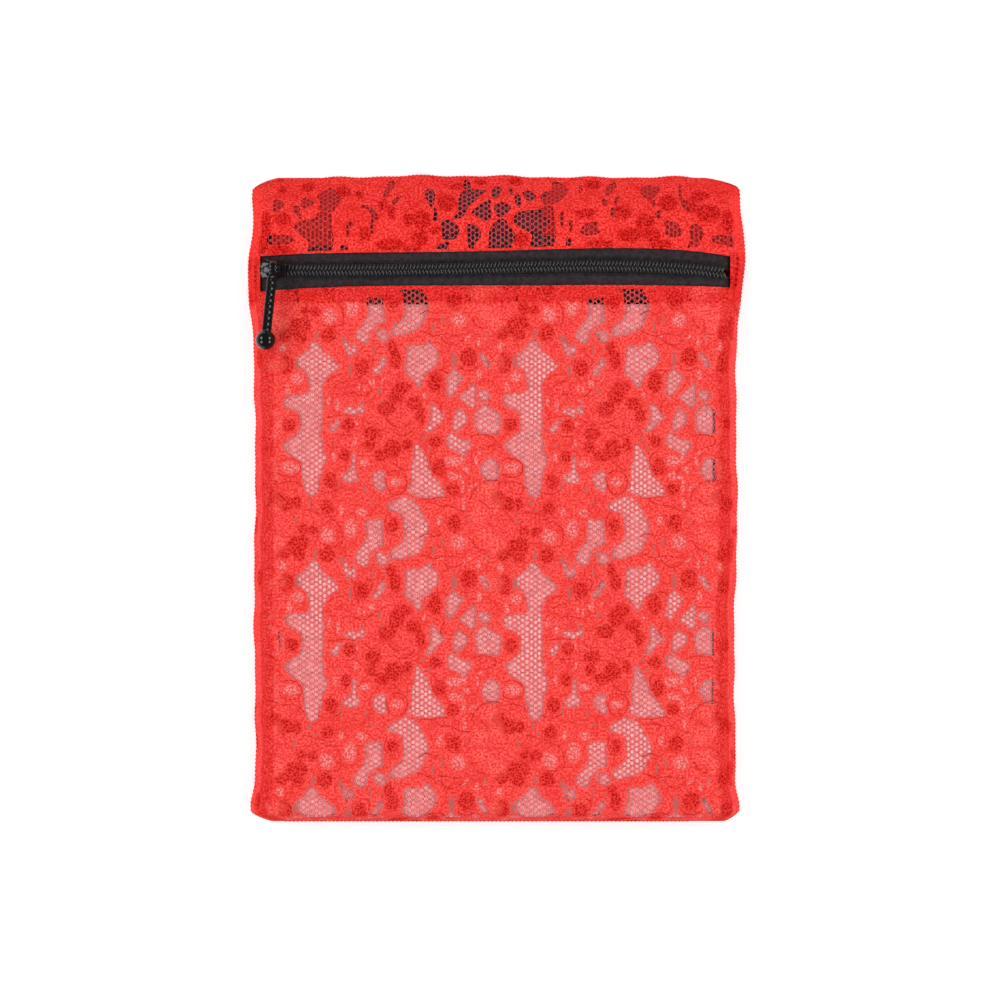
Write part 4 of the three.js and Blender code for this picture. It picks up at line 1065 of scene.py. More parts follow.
def window_zone():
    """The part of the front cloth within its hems."""
    left_in, right_in, top_in, low_in = FRONT_HEMS
    t = np.linspace(CLOTH_LOW + low_in, CHAIN_Y + FRONT_EDGE[-1] - top_in, 120)
    y = along_cloth(t)[0]
    right = np.stack([half_width(y, 1.0) - right_in, t], -1)
    left = np.stack([left_in - half_width(y, -1.0), t], -1)[::-1]
    x = np.linspace(right[-1, 0], left[0, 0], 120)[1:-1]
    lip = np.stack([x, CHAIN_Y + stray(FRONT_EDGE, x) - top_in], -1)
    return even_steps(np.concatenate([right, lip, left]), 0.9)


def share_out(flat, faces, cells, low, high):
    """The part of a cut lace between two places across it: which points, the triangles, which cells."""
    middle = flat[faces].mean(1)[:, 0]
    mine = faces[(middle >= low) & (middle < high)]
    used, mine = np.unique(mine, return_inverse=True)
    return used, mine.reshape(-1, 3), (cells[:, 0] >= low) & (cells[:, 0] < high)


def seam_gaps():
    """Gaps between the yarns where the side seams bulge beside the ends of the zip, painted dark with the
    shade seen through them.
    """
    right = [(76.4 + 0.2 * math.sin(2.1 * i), CHAIN_Y + 3.2 - 1.65 * i, 2.0, 0.36) for i in range(6)]
    left = [(-76.4 + 0.2 * math.sin(1.7 * i), CHAIN_Y + 0.4 - 1.4 * i, 1.5, 0.32) for i in range(4)]
    return right + left


def make_front_lace():
    """The lace below the zip: the middle part along the lip, and the two side strips beside it."""
    outline = front_outline()
    cut = pattern(outline.min(0), outline.max(0))
    cut["slits"] = [slit for slit in cut["slits"] if abs(slit[0]) < SEWN_FROM]
    cut["gaps"] = seam_gaps()
    flat, faces, cells, from_rim = cut_lace(outline, window_zone(), cut, spacing=1.25)
    drawn, strips = stitched_lines(cut["lines"], LINE_WIDTH)
    within = inside(drawn, outline)
    strips = strips[np.all(within[strips], axis=1)] + len(flat)
    line = np.concatenate([np.zeros(len(flat)), np.ones(len(drawn))])
    thin = np.concatenate([thinness(flat, cut, from_rim), np.zeros(len(drawn))])
    flat, faces = np.concatenate([flat, drawn]), np.concatenate([faces, strips])
    inset = from_side(flat)
    over_tape = flat[:, 1] > CHAIN_Y - TAPE_HALF
    hem = climb(inset, HEM_FROM, 0.4) * np.clip((HEM_TO - inset) / 0.6, 0, 1)
    looks = {
        # The hearts' piercings, painted dark with shade, also go into the hems, the lace over the tape and
        # the stitch lines
        "heart": np.maximum.reduce([worked(flat, cut["hearts"]), 0.36 * hem, 0.36 * over_tape, 0.5 * line]),
        "pale": worked(flat, cut["pale"]) * (inset > 6),
        "thin": thin * (inset > 5.2) * ~over_tape,
        # Painted shade seen through the slits and the seam gaps
        "slit": worked(flat, cut["slits"] + cut["gaps"]) * (line == 0),
        "ink": np.where(over_tape, 0.7, 0.35 * hem),
        "inset": inset,
        "line": line,
        "sunk": 0.06 * line,
    }
    spans = (("front_lace_left", -math.inf, -LIP_HALF), ("front_lace_middle", -LIP_HALF, LIP_HALF),
             ("front_lace_right", LIP_HALF, math.inf))
    made = {}
    for name, low, high in spans:
        used, mine, own = share_out(flat, faces, cells, low, high)
        doubled = cells[own, 1] > CHAIN_Y - TAPE_HALF
        mesh = lace_mesh(name, lay, flat[used], mine, cells[own], {k: v[used] for k, v in looks.items()},
                         net=np.where(doubled, RED_NET, 1.0), net_ink=0.7 * doubled)
        made[name] = place(name, mesh)
    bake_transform(made["front_lace_middle"])
    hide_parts("front_lace_panel")
    for name, side in (("left", -1), ("right", 1)):
        strip = made[f"front_lace_{name}"]
        hang_between(strip)
        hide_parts(f"{name}_side_seam")
        make_seam_allowance(name, side)


def hang_between(piece):
    """Bakes the place of a piece that lies between the lip and the case into its mesh; it rides on no body.
    """
    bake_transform(piece)


def plain_layer(name, outline, under, looks):
    """A close layer of lace under another, with no windows."""
    outline = even_steps(outline, 0.9)
    flat, faces, cells, _ = cut_lace(outline, outline, plain_cut(), spacing=1.4)
    looks = {key: np.full(len(flat), value) for key, value in looks.items()}
    return lace_mesh(name, lambda s, t: lay(s, t, under), flat, faces, cells, looks)


def make_seam_allowance(name, side):
    """The lace turned in at a side seam, seen through the net along the insert's edge, and darkened with
    painted shade.
    """
    low, high, inner_at, off_crease = -97.0, 64.0, 68.5, 4.0
    t = np.linspace(low, high, 160)
    inner = np.stack([side * (inner_at + 0.25 * np.sin(t / 3.3) + 0.2 * np.sin(t / 1.7)), t], -1)
    outer = np.stack([side * (edge_s(t, float(side)) - off_crease), t], -1)[::-1]
    loop = np.concatenate([inner, outer])[::-side]
    mesh = plain_layer(f"{name}_seam_allowance", loop, under=0.85, looks={"heart": 0.8, "sunk": 0.3})
    piece = place(f"{name}_seam_allowance", mesh)
    hang_between(piece)


def on_header(points):
    """Places in plan on the header, as places on its cloth."""
    p = np.array(points, float)
    cloth, plan, _ = HEADER_CURVE
    t = CLOTH_HIGH - np.interp(TOP_FOLD - p[:, 1], plan, cloth)
    p[:, 1] = np.where(p[:, 1] > TOP_FOLD - HEADER_ROLL, t, p[:, 1])
    return p


def make_header_lace():
    """The lace above the zip, folded over the top, with its facings and its lining."""
    low = CHAIN_Y + stray(HEADER_EDGE, STRAY_SPAN)
    right, left = side_edges(np.linspace(low, CLOTH_HIGH, 60))
    x = np.linspace(left[-1, 0], right[0, 0], 220)
    lower = np.stack([x, CHAIN_Y + stray(HEADER_EDGE, x) + 0.04 * np.sin(x / 0.9)], -1)
    outline = even_steps(np.concatenate([lower, right, left]), 0.9)
    windows = [smooth_loop(on_header(w)) for w in HEADER_WINDOWS]
    hearts = [(*on_header([h[:2]])[0], *h[2:]) for h in HEADER_HEARTS]
    hem_share = (1 - 5.5 / 75, 1 - 0.8 / 12)
    hem = outline.mean(0) + (outline - outline.mean(0)) * hem_share
    flat, faces, cells, _ = cut_lace(outline, hem, plain_cut(windows), spacing=1.3)
    # A little of the hearts' piercings, painted dark with shade, lies over the whole header
    looks = {"heart": np.maximum(worked(flat, hearts), 0.14), "ink": np.full(len(flat), 0.8)}
    faced = (cells[:, 0] < FACINGS["left"][1]) | (cells[:, 0] > FACINGS["right"][0])
    mesh = lace_mesh("header_lace", lay, flat, faces, cells, looks, thread=HEADER_THREAD,
                     net=np.where(faced, RED_NET, 1.0), net_ink=1.0)
    piece = place("header_lace", mesh, "case")
    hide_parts("header_lace_panel")
    for name, (low_x, high_x, size) in FACINGS.items():
        make_header_facing(name, low_x, high_x)
    make_header_lining()


def make_header_facing(name, low_x, high_x):
    """Red lace behind one end of the header, with a ragged inner edge, and darkened with painted shade under
    the header's lace.
    """
    steps = 40
    inner_low, outer_low, high = CHAIN_Y + 10.3, CHAIN_Y + 5.5, CLOTH_HIGH - 3
    t = np.linspace(inner_low, high, steps)
    inner, outer = (high_x, low_x) if name == "left" else (low_x, high_x)
    ragged = np.stack([inner + 1.2 * np.sin(t / 1.9) + 0.6 * np.sin(t / 0.8), t], -1)
    straight = np.stack([np.full(steps, outer), np.linspace(outer_low, high, steps)], -1)
    loop = np.concatenate([ragged, straight[::-1]] if name == "left" else [straight, ragged[::-1]])
    layer = plain_layer(f"header_facing_{name}", loop, under=0.5, looks={"sunk": 0.75})
    facing = place(f"header_facing_{name}", layer, "case")


def make_header_lining():
    """The dusky cloth close behind the header's lace."""
    across, along = 72, 18
    s, t = crossed(np.linspace(-70.5, 70.5, across), np.linspace(82.0, CLOTH_HIGH - 4.5, along))
    mesh = mesh_of("header_lining", lay(s, t, under=1.2), grid_faces(across, along))
    piece = place("header_lining", thickened("header_lining", mesh, 0.2), "case", DUSKY_CLOTH)


def make_back_lace():
    """The same lace, mirrored, flat under the case."""
    y = np.linspace(-TOP_FOLD, TOP_FOLD, 240)
    right = np.stack([half_width(y, 1.0), y], -1)
    left = np.stack([-half_width(y, -1.0), y], -1)[::-1]
    outline = even_steps(np.concatenate([right, left]), 1.0)
    cut = pattern(outline.min(0), outline.max(0), mirrored=True)
    flat, faces, cells, from_rim = cut_lace(outline, outline * 0.96, cut, spacing=1.7)
    looks = {"heart": worked(flat, cut["hearts"]), "ink": np.full(len(flat), 0.4),
             # Painted shade seen through the slits
             "thin": thinness(flat, cut, from_rim), "slit": worked(flat, cut["slits"]),
             "inset": half_width(flat[:, 1], np.sign(flat[:, 0])) - np.abs(flat[:, 0])}
    mesh = lace_mesh("back_lace", lay_back, flat, faces[:, ::-1], cells, looks)
    piece = place("back_lace", mesh, "case")
    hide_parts("back_lace_panel")


def make_fold_loops():
    """Loops of yarn that stand out along the folded edges, and make them bumpy."""
    edges = {}
    y = np.linspace(-97.5, 97.0, 400)
    z = np.full_like(y, CREASE_Z + 0.1)
    for name, side in (("left", -1.0), ("right", 1.0)):
        edges[name] = np.column_stack([side * (half_width(y, side) - 0.08), y, z])
    x = np.linspace(-66.0, 60.0, 260)
    z = np.full_like(x, CREASE_Z + 0.2)
    edges["top"] = np.column_stack([x, TOP_FOLD + top_edge(x) - 0.1, z])
    edges["bottom"] = np.column_stack([x, np.full_like(x, -TOP_FOLD + 0.08), z])
    for name, line in edges.items():
        make_stitches(f"{name}_fold_loops", [line], "case", LACE,
                      spacing=1.24, length=1.05, width=0.56)


# Lining and insert


def make_lining():
    """A dark cloth over the back lace."""
    across, along = 72, 96
    half, end = 70.4, 95.8
    xs, ys = np.linspace(-half, half, across), np.linspace(-end, end, along)
    points = sheet_points(xs, ys, lambda x, y: 1.3 + 0.06 * np.sin(x / 8 + y / 11) + 0.05 * np.sin(y / 6))
    mesh = thickened("lining_cloth", mesh_of("lining_cloth", points, grid_faces(across, along)), 0.25)
    piece = place("lining_cloth", mesh, "case", LINING_CLOTH)
    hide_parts("back_lining")


REAR_WALL, FRONT_WALL = (1.5, 3.8), (8.6, 11.12)  # low and high
UNDER_LACE = 0.34  # the insert stays this far under the front lace
GUSSET_LOW, GUSSET_RISE = 3.3, 5.8
HEM, CHANNEL_SEAM, CHANNELS = 5.0, 4.0, 4
CHANNEL_PITCH = (2 * (INSERT_HALF - HEM) + CHANNEL_SEAM) / CHANNELS


def swell(x, y):
    """How full a quilted wall is: slack at seams and hems, full along the channels."""
    within = (x + INSERT_HALF - HEM + CHANNEL_SEAM / 2) % CHANNEL_PITCH
    wall = np.clip(np.minimum(within, CHANNEL_PITCH - within) / (CHANNEL_PITCH / 2), 0, 1)
    ends = np.clip(np.minimum(y - INSERT_BOTTOM - 2, INSERT_TOP - 2 - y) / 9, 0, 1)
    outer = np.clip((INSERT_HALF - 2 - np.abs(x)) / 5, 0, 1)
    puff = np.sqrt(1 - (1 - wall) ** 4) * np.sqrt(1 - (1 - ends) ** 2)
    return 0.8 + 0.2 * puff * np.sqrt(outer)


def under_lace(x, y):
    """The highest that something can lie under the front lace."""
    ends = np.sin(np.pi / 2 * np.clip((y + TOP_FOLD) / BOTTOM_ROLL, 0, 1))
    sides = np.sin(np.pi / 2 * np.clip((BODY_HALF - np.abs(x)) / SIDE_ROLL, 0, 1))
    return CREASE_Z + (FRONT_Z - CREASE_Z) * ends * sides - UNDER_LACE


def make_insert_wall(name, low, high, bottom):
    """A quilted wall: two cloths sewn together round four gel channels."""
    across, along = 138, 130
    xs, ys = np.linspace(-INSERT_HALF, INSERT_HALF, across), np.linspace(bottom, INSERT_TOP, along)
    middle, half = (low + high) / 2, (high - low) / 2
    pucker = lambda x, y: 0.03 * np.sin(x / 3.1 + np.sin(y / 9.0)) * np.sin(y / 7.0)
    sag = lambda y: 0.3 * climb(y, 42, 19)
    rise = lambda x, y: np.minimum(middle + half * swell(x, y) + pucker(x, y) - sag(y), under_lace(x, y))
    upper = sheet_points(xs, ys, rise)
    lower = sheet_points(xs, ys, lambda x, y: np.minimum(middle - half * swell(x, y), rise(x, y) - 0.4))
    faces = grid_faces(across, along)
    at = np.arange(len(upper)).reshape(across, along)
    ring = np.concatenate([at[:, 0], at[-1, 1:], at[-2::-1, -1], at[0, -2:0:-1]])
    after = np.roll(ring, -1)
    rim = np.stack([ring, ring + len(upper), after + len(upper), after], -1)
    faces = np.concatenate([faces, faces[:, ::-1] + len(upper), rim])
    mesh = mesh_of(name, np.concatenate([upper, lower]), faces)
    side = name.split("_")[1]
    piece = place(name, mesh, "case", INSERT_CLOTH)
    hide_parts(f"insert_{side}_lower_cloth", f"insert_{side}_upper_cloth")


def make_insert_join(name, start, end, outward):
    """A gusset between the two walls, bowed outward."""
    along, up = 60, 9
    share, rise = crossed(np.linspace(0, 1, along), np.linspace(0, 1, up))
    base = np.array(start) + share[:, None] * (np.array(end) - np.array(start))
    bulge = (0.25 + 0.55 * np.sin(np.pi * rise) + 0.08 * np.sin(share * 40))[:, None] * np.array(outward)
    points = np.column_stack([base + bulge, GUSSET_LOW + GUSSET_RISE * rise])
    mesh = thickened(name, mesh_of(name, points, grid_faces(along, up)), 0.3)
    piece = place(name, mesh, "case", INSERT_CLOTH)
    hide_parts(name.replace("_gusset", "_join"))


def make_insert():
    """Two quilted walls, the gussets between them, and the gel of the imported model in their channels."""
    make_insert_wall("insert_rear_wall", *REAR_WALL, INSERT_BOTTOM)
    make_insert_wall("insert_front_wall", *FRONT_WALL, FRONT_WALL_BOTTOM)
    side, low, high = INSERT_HALF - 0.6, INSERT_BOTTOM + 0.6, INSERT_TOP - 0.5
    make_insert_join("insert_left_gusset", (-side, high), (-side, low), (-1, 0))
    make_insert_join("insert_right_gusset", (side, low), (side, high), (1, 0))
    make_insert_join("insert_bottom_gusset", (-side, low), (side, low), (0, -1))
    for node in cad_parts:
        if "gel_channel" in node:
            gel = bpy.data.objects[node]
            gel.data.materials.clear()
            gel.data.materials.append(GEL)


# Zip: woven tapes, two wound coils whose loops stand in each other's gaps, and the stitches that hold them


COIL_OFF, COIL_UP = 0.78, 1.0  # a coil's middle, from the chain's line and over the tape
COIL_IN = 0.6  # the coils end this far inside the tapes


def make_tape(name, left, right, side, body, node):
    """A tape on one side of the chain, sunk along its sewing, with its ends folded in."""
    step, inner, sewn_at, folded_from = 1.2, 0.95, 2.5, 7.0
    count = round((right - left) / step) + 1
    offsets = np.concatenate([[inner, 1.3], np.linspace(2.3, TAPE_HALF - 0.1, 14)])
    x, off = crossed(np.linspace(left, right, count), offsets)
    fold = np.clip(off - folded_from, 0, None)
    x = np.clip(x, TAPE_LEFT + fold, TAPE_RIGHT - fold)
    z = TAPE_TOP - 0.25 + 0.05 * np.sin(x / 4 + off) - 0.12 * hump(off, sewn_at, 0.4)
    points = np.column_stack([x, CHAIN_Y + stray(CHAIN_CURVE, x) + side * off, z])
    faces = grid_faces(count, len(offsets))[:, :: side]
    mesh = thickened(name, mesh_of(name, points, faces), 0.4)
    piece = place(name, mesh, body, TAPE_CLOTH)
    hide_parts(node)
    return piece


def coil_tree():
    """A wound coil along X: a flattened spiral of nylon."""
    numbers = {
        "Start": 0.0, "Turns": 10.0, "Pitch": COIL_PITCH * MM, "Half width": 0.86 * MM,
        "Half height": 0.7 * MM, "Yarn": 0.25 * MM, "Centre Y": 0.0, "Centre Z": 0.0, "Hand": 1.0,
    }
    inputs = [(key, "NodeSocketFloat", value) for key, value in numbers.items()]
    tree, given, out = geometry_tree("Zip coil", inputs + [("Material", "NodeSocketMaterial", None)])
    times = lambda a, b: math_node(tree, "MULTIPLY", a, b)
    plus = lambda a, b: math_node(tree, "ADD", a, b)
    turns = {"Resolution": 12, "Rotations": given["Turns"], "Start Radius": 1.0, "End Radius": 1.0,
             "Height": times(given["Turns"], given["Pitch"])}
    spiral = add_node(tree, "GeometryNodeCurveSpiral", turns).outputs[0]
    place_on = add_node(tree, "GeometryNodeInputPosition").outputs[0]
    at = add_node(tree, "ShaderNodeSeparateXYZ", {0: place_on}).outputs
    x = plus(at[2], given["Start"])
    y = plus(times(times(at[0], given["Half width"]), given["Hand"]), given["Centre Y"])
    z = plus(times(at[1], given["Half height"]), given["Centre Z"])
    where = add_node(tree, "ShaderNodeCombineXYZ", {0: x, 1: y, 2: z}).outputs[0]
    wound = add_node(tree, "GeometryNodeSetPosition", {"Geometry": spiral, "Position": where}).outputs[0]
    section = {"Resolution": 6, "Radius": given["Yarn"]}
    ring = add_node(tree, "GeometryNodeCurvePrimitiveCircle", section).outputs[0]
    yarn = {"Curve": wound, "Profile Curve": ring, "Fill Caps": True}
    end_tree(tree, add_node(tree, "GeometryNodeCurveToMesh", yarn).outputs[0], given, out)
    return tree


COIL_TREE = coil_tree()


def make_coil(name, left, right, side, body, node):
    """Both coils count their turns from one place, so pieces of a coil carry on from one another."""
    shift = COIL_PITCH / 2 if side < 0 else 0.0
    start = math.ceil((left - shift) / COIL_PITCH) * COIL_PITCH + shift
    turns = math.ceil((right - start) / COIL_PITCH - 0.02)
    if right > TAPE_RIGHT - 1:
        turns -= 1  # so that the last loop ends within the tape
    mesh = run_tree(name, bpy.data.meshes.new(name), COIL_TREE, {
        "Start": start * MM, "Turns": float(turns), "Centre Y": (CHAIN_Y + side * COIL_OFF) * MM,
        "Centre Z": (TAPE_TOP + COIL_UP) * MM, "Hand": float(side), "Material": COIL})
    for vertex in mesh.vertices:
        vertex.co.y += stray(CHAIN_CURVE, vertex.co.x / MM) * MM
    piece = place(name, mesh, body)
    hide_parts(node)
    return piece


def stitch_tree():
    """Stitches along a line of edges: short threads, each sunk at its ends."""
    numbers = {"Spacing": 2.4 * MM, "Length": 1.7 * MM, "Width": 0.4 * MM}
    inputs = [(key, "NodeSocketFloat", value) for key, value in numbers.items()]
    tree, given, out = geometry_tree("Stitches", inputs + [("Material", "NodeSocketMaterial", None)])
    line = add_node(tree, "GeometryNodeMeshToCurve", {"Mesh": given["Geometry"]}).outputs[0]
    steps = {"Curve": line, "Length": given["Spacing"]}
    spots = add_node(tree, "GeometryNodeCurveToPoints", steps, mode="LENGTH").outputs
    thread = add_node(tree, "GeometryNodeMeshUVSphere", {"Segments": 6, "Rings": 5, "Radius": 0.5}).outputs[0]
    sizes = {0: given["Width"], 1: given["Width"], 2: given["Length"]}
    size = add_node(tree, "ShaderNodeCombineXYZ", sizes).outputs[0]
    ahead = {"Vector": spots["Tangent"]}
    turn = add_node(tree, "FunctionNodeAlignRotationToVector", ahead, axis="Z").outputs[0]
    laid = {"Points": spots["Points"], "Instance": thread, "Rotation": turn, "Scale": size}
    row = add_node(tree, "GeometryNodeInstanceOnPoints", laid).outputs[0]
    end_tree(tree, row, given, out)
    return tree


STITCHES = stitch_tree()


def make_stitches(name, lines, body, finish, spacing=2.4, length=1.7, width=0.4):
    """One piece of stitches along some lines."""
    points = np.concatenate(lines)
    edges, count = [], 0
    for line in lines:
        edges += [(count + i, count + i + 1) for i in range(len(line) - 1)]
        count += len(line)
    base = mesh_of(name, points, [], edges=edges)
    values = {"Spacing": spacing * MM, "Length": length * MM, "Width": width * MM, "Material": finish}
    return place(name, run_tree(name, base, STITCHES, values), body)


def chain_line(low, high, curve, off, z):
    """A line beside the chain that strays as a sewn edge does."""
    x = np.linspace(low, high, 80)
    return np.column_stack([x, CHAIN_Y + stray(curve, x) + off, np.full(len(x), z)])


def make_zip():
    """Tapes and coils, their sewing, and the stitches along the lace edges beside them."""
    make_tape("zip_tape_top", TAPE_LEFT, TAPE_RIGHT, 1, "case", "zip_tape_upper")
    make_tape("zip_tape_lip", -LIP_HALF, LIP_HALF, -1, "front_lip", "zip_tape_lower")
    make_coil("zip_coil_top", TAPE_LEFT + COIL_IN, TAPE_RIGHT - COIL_IN, 1, "case", "zip_coil_upper")
    make_coil("zip_coil_lip", -LIP_HALF, LIP_HALF, -1, "front_lip", "zip_coil_lower")
    for end, left, right, side in (("left", TAPE_LEFT, -LIP_HALF, -1), ("right", LIP_HALF, TAPE_RIGHT, 1)):
        tape = make_tape(f"zip_tape_{end}_end", left, right, -1, None, f"zip_tape_lower_{end}_end")
        first = left + COIL_IN if side < 0 else left
        last = right - COIL_IN if side > 0 else right
        coil = make_coil(f"zip_coil_{end}_end", first, last, -1, None, f"zip_coil_lower_{end}_end")
        for piece in (tape, coil):
            hang_between(piece)
    sewing = (("zip_sewing_top", 1, TAPE_LEFT + 1, TAPE_RIGHT - 1, "case"),
              ("zip_sewing_lip", -1, -59.5, 59.5, "front_lip"))
    for name, side, low, high, body in sewing:
        lines = [chain_line(low, high, CHAIN_CURVE, side * off, TAPE_TOP + 0.02) for off in (2.2, 2.8)]
        make_stitches(name, lines, body, TAPE_CLOTH, spacing=1.15, length=0.95, width=0.3)
    edge = chain_line(TAPE_LEFT + 1, TAPE_RIGHT - 1, HEADER_EDGE, 0.4, FRONT_Z + 0.05)
    make_stitches("header_edge_stitches", [edge], "case", LACE)
    edge = chain_line(-59, 59, FRONT_EDGE, -0.5, FRONT_Z + 0.05)
    make_stitches("front_edge_stitches", [edge], "front_lip", LACE)


def make_quilting():
    """The stitches between the channels of the insert's front wall."""
    y = np.linspace(INSERT_BOTTOM + 4, INSERT_TOP - 4, 60)
    seams = []
    for k in range(1, CHANNELS):
        x = -INSERT_HALF + HEM - CHANNEL_SEAM / 2 + k * CHANNEL_PITCH
        top = sum(FRONT_WALL) / 2 + (FRONT_WALL[1] - FRONT_WALL[0]) / 2 * swell(x, y)
        seams.append(np.column_stack([np.full(len(y), x), y, top + 0.08]))
    make_stitches("insert_quilting", seams, "case", INSERT_CLOTH,
                  spacing=3.0, length=2.2, width=0.45)


# Slider and pull, in lacquered metal


# Heights of the slider's parts
LOWER_PLATE, UPPER_PLATE = (9.2, 10.1), (13.0, 13.4, 14.25)
POST, SIDE_WALL = (9.8, 13.5), (11.3, 13.3)


def block(builder, *levels):
    """Adds a closed block through outlines of as many points, each at its height."""
    rings = [[builder.verts.new((x * MM, y * MM, z * MM)) for x, y in outline] for outline, z in levels]
    builder.faces.new(rings[0][::-1])
    builder.faces.new(rings[-1])
    for under, over in zip(rings, rings[1:]):
        for i in range(len(under)):
            j = (i + 1) % len(under)
            builder.faces.new((under[i], under[j], over[j], over[i]))


def mirrored_outline(half):
    """A closed outline from its half above the chain line, nose first."""
    full = [(x, -y) for x, y in half] + [(x, y) for x, y in half[::-1] if y > 0]
    return [(SLIDER_X + x, SLIDER_Y + y) for x, y in full]


def make_slider():
    """Two plates joined at the nose, with sloping shoulders and side walls."""
    edge = mirrored_outline([(-4.2, 0), (-4.4, 0.7), (-3.55, 2.5), (-2.7, 3.2), (-1.2, 3.3), (0.8, 2.6),
                             (2.6, 2.2), (4.0, 2.1), (4.4, 1.6)])
    crown = mirrored_outline([(-2.6, 0), (-2.7, 0.5), (-2.0, 1.85), (-1.9, 2.4), (-0.9, 2.7), (0.9, 2.1),
                              (2.5, 1.7), (3.5, 1.5), (3.8, 1.1)])
    nose = mirrored_outline([(-3.3, 0), (-2.6, 0.32), (-1.2, 0.28), (-0.9, 0)])
    builder = bmesh.new()
    block(builder, *zip((edge, edge, crown), UPPER_PLATE))
    block(builder, *zip((edge, edge), LOWER_PLATE))
    block(builder, *zip((nose, nose), POST))
    for side in (-1, 1):
        corners = ((-2.6, 2.72), (-2.6, 3.1), (0.9, 3.0), (0.9, 2.72))
        wall = [(SLIDER_X + x, SLIDER_Y + side * y) for x, y in corners][::-side]
        block(builder, *zip((wall, wall), SIDE_WALL))
    bmesh.ops.bevel(builder, geom=builder.edges[:], offset=0.1 * MM, segments=2, profile=0.6, affect="EDGES")
    bmesh.ops.recalc_face_normals(builder, faces=builder.faces[:])
    mesh = bpy.data.meshes.new("slider_shell")
    builder.to_mesh(mesh)
    builder.free()
    piece = place("slider_shell", mesh, "slider", LACQUER)
    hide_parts("slider_body")


def tube(path, sections):
    """Points and faces of a capped tube: a path, and the closed section at each place as points about it."""
    count, sides = len(path), len(sections[0])
    points = np.concatenate([p + s for p, s in zip(path, sections)])
    at = np.arange(count * sides).reshape(count, sides)
    around = np.roll(at, -1, axis=1)
    quads = np.stack([at[:-1], around[:-1], around[1:], at[1:]], -1).reshape(-1, 4)
    return points, [list(q) for q in quads] + [list(at[0][::-1]), list(at[-1])]


def make_bridge():
    """The bow that the pull's eye goes round: a sloping dome at the nose, higher under the eye."""
    x = np.array([-3.6, -3.55, -3.4, -3.0, -2.3, -1.6, -1.1, -0.5, 0.0, 0.6, 1.2, 1.9, 2.5, 2.9, 3.0])
    top = np.interp(x, [-3.6, -3.4, -3.0, -1.6, 0, 0.6, 1.9, 2.9, 3.0],
                    [13.9, 14.9, 15.2, 15.86, 16.9, 16.85, 16.0, 14.6, 13.9])
    low = np.interp(x, [-2.3, -1.1, 0, 1.2, 2.5], [14.0, 15.2, 15.7, 15.3, 13.8])
    wide = np.interp(x, [-3.6, -3.4, -2.9, -1.6, -1.1, 0.5, 3.0], [0.7, 0.95, 1.1, 1.1, 1.0, 1.0, 0.9])
    slope = -0.22 * np.clip((-0.8 - x) / 0.6, 0, 1)
    around = round_steps(24)
    thinnest = 0.2
    squarish = 0.4
    sections = []
    for half, tall, lean in zip(wide, np.maximum(top - low, thinnest) / 2, slope):
        y, z = half * bent(np.cos(around), squarish), tall * bent(np.sin(around), squarish)
        sections.append(np.column_stack([np.zeros_like(y), y, z + lean * y]))
    middle = (top + np.minimum(low, top - thinnest)) / 2
    path = np.column_stack([SLIDER_X + x, np.full(len(x), SLIDER_Y), middle])
    points, faces = tube(path, sections)
    metal_piece("bridge_bow", points, faces, "slider", "slider_bridge")


def metal_piece(name, points, faces, body, node):
    """A lacquered piece whose faces all point outwards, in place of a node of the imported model."""
    mesh = mesh_of(name, points, faces)
    builder = bmesh.new()
    builder.from_mesh(mesh)
    bmesh.ops.recalc_face_normals(builder, faces=builder.faces[:])
    builder.to_mesh(mesh)
    builder.free()
    piece = place(name, mesh, body, LACQUER)
    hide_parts(node)


STEM_FROM, STEM_TO, COLLAR_TO, BALL_AT = 1.75, 19.6, 20.2, 22.6  # along the pull, from where it swings
STEM_HALF, NECK = 1.5, 1.4  # half the stem's width, and half the collar's at its ends
EYE_RADIUS, EYE_WIRE, EYE_HALF = 2.0, 0.42, 1.1  # the eye's ring, half its wire, and half its width
PULL_DROOP, PULL_YAW = math.radians(3.56), math.radians(6.1)  # how it lies at rest


def pull_profile():
    """Places along the stem, the collar and the ball, and half the width at each."""
    stem = np.linspace(STEM_FROM, STEM_TO, 64)
    stem_half = STEM_HALF + 0.035 * np.sin(stem * 3.4)
    stem_half[:4] = (0.8, 1.0, 1.2, 1.34)
    collar = np.linspace(STEM_TO + 0.15, COLLAR_TO, 5)
    collar_half = [NECK, 1.5, 1.52, 1.48, NECK]
    polar = np.linspace(math.asin(NECK / BALL), np.pi, 26)[:-1]
    along = np.concatenate([stem, collar, BALL_AT - BALL * np.cos(polar), [BALL_AT - 0.001 + BALL]])
    return along, np.concatenate([stem_half, collar_half, BALL * np.sin(polar), [0.05]])


def pull_eye():
    """Points and faces of the eye, a flattened ring."""
    around, across = 36, 12
    big, little = crossed(round_steps(around), round_steps(across))
    out = EYE_RADIUS + EYE_WIRE * np.cos(little)
    points = np.column_stack([EYE_HALF * np.sin(little), out * np.cos(big), out * np.sin(big)])
    at = np.arange(around * across).reshape(around, across)
    ahead, beside = np.roll(at, -1, axis=0), np.roll(at, -1, axis=1)
    return points, np.stack([at, ahead, np.roll(ahead, -1, axis=1), beside], -1).reshape(-1, 4)


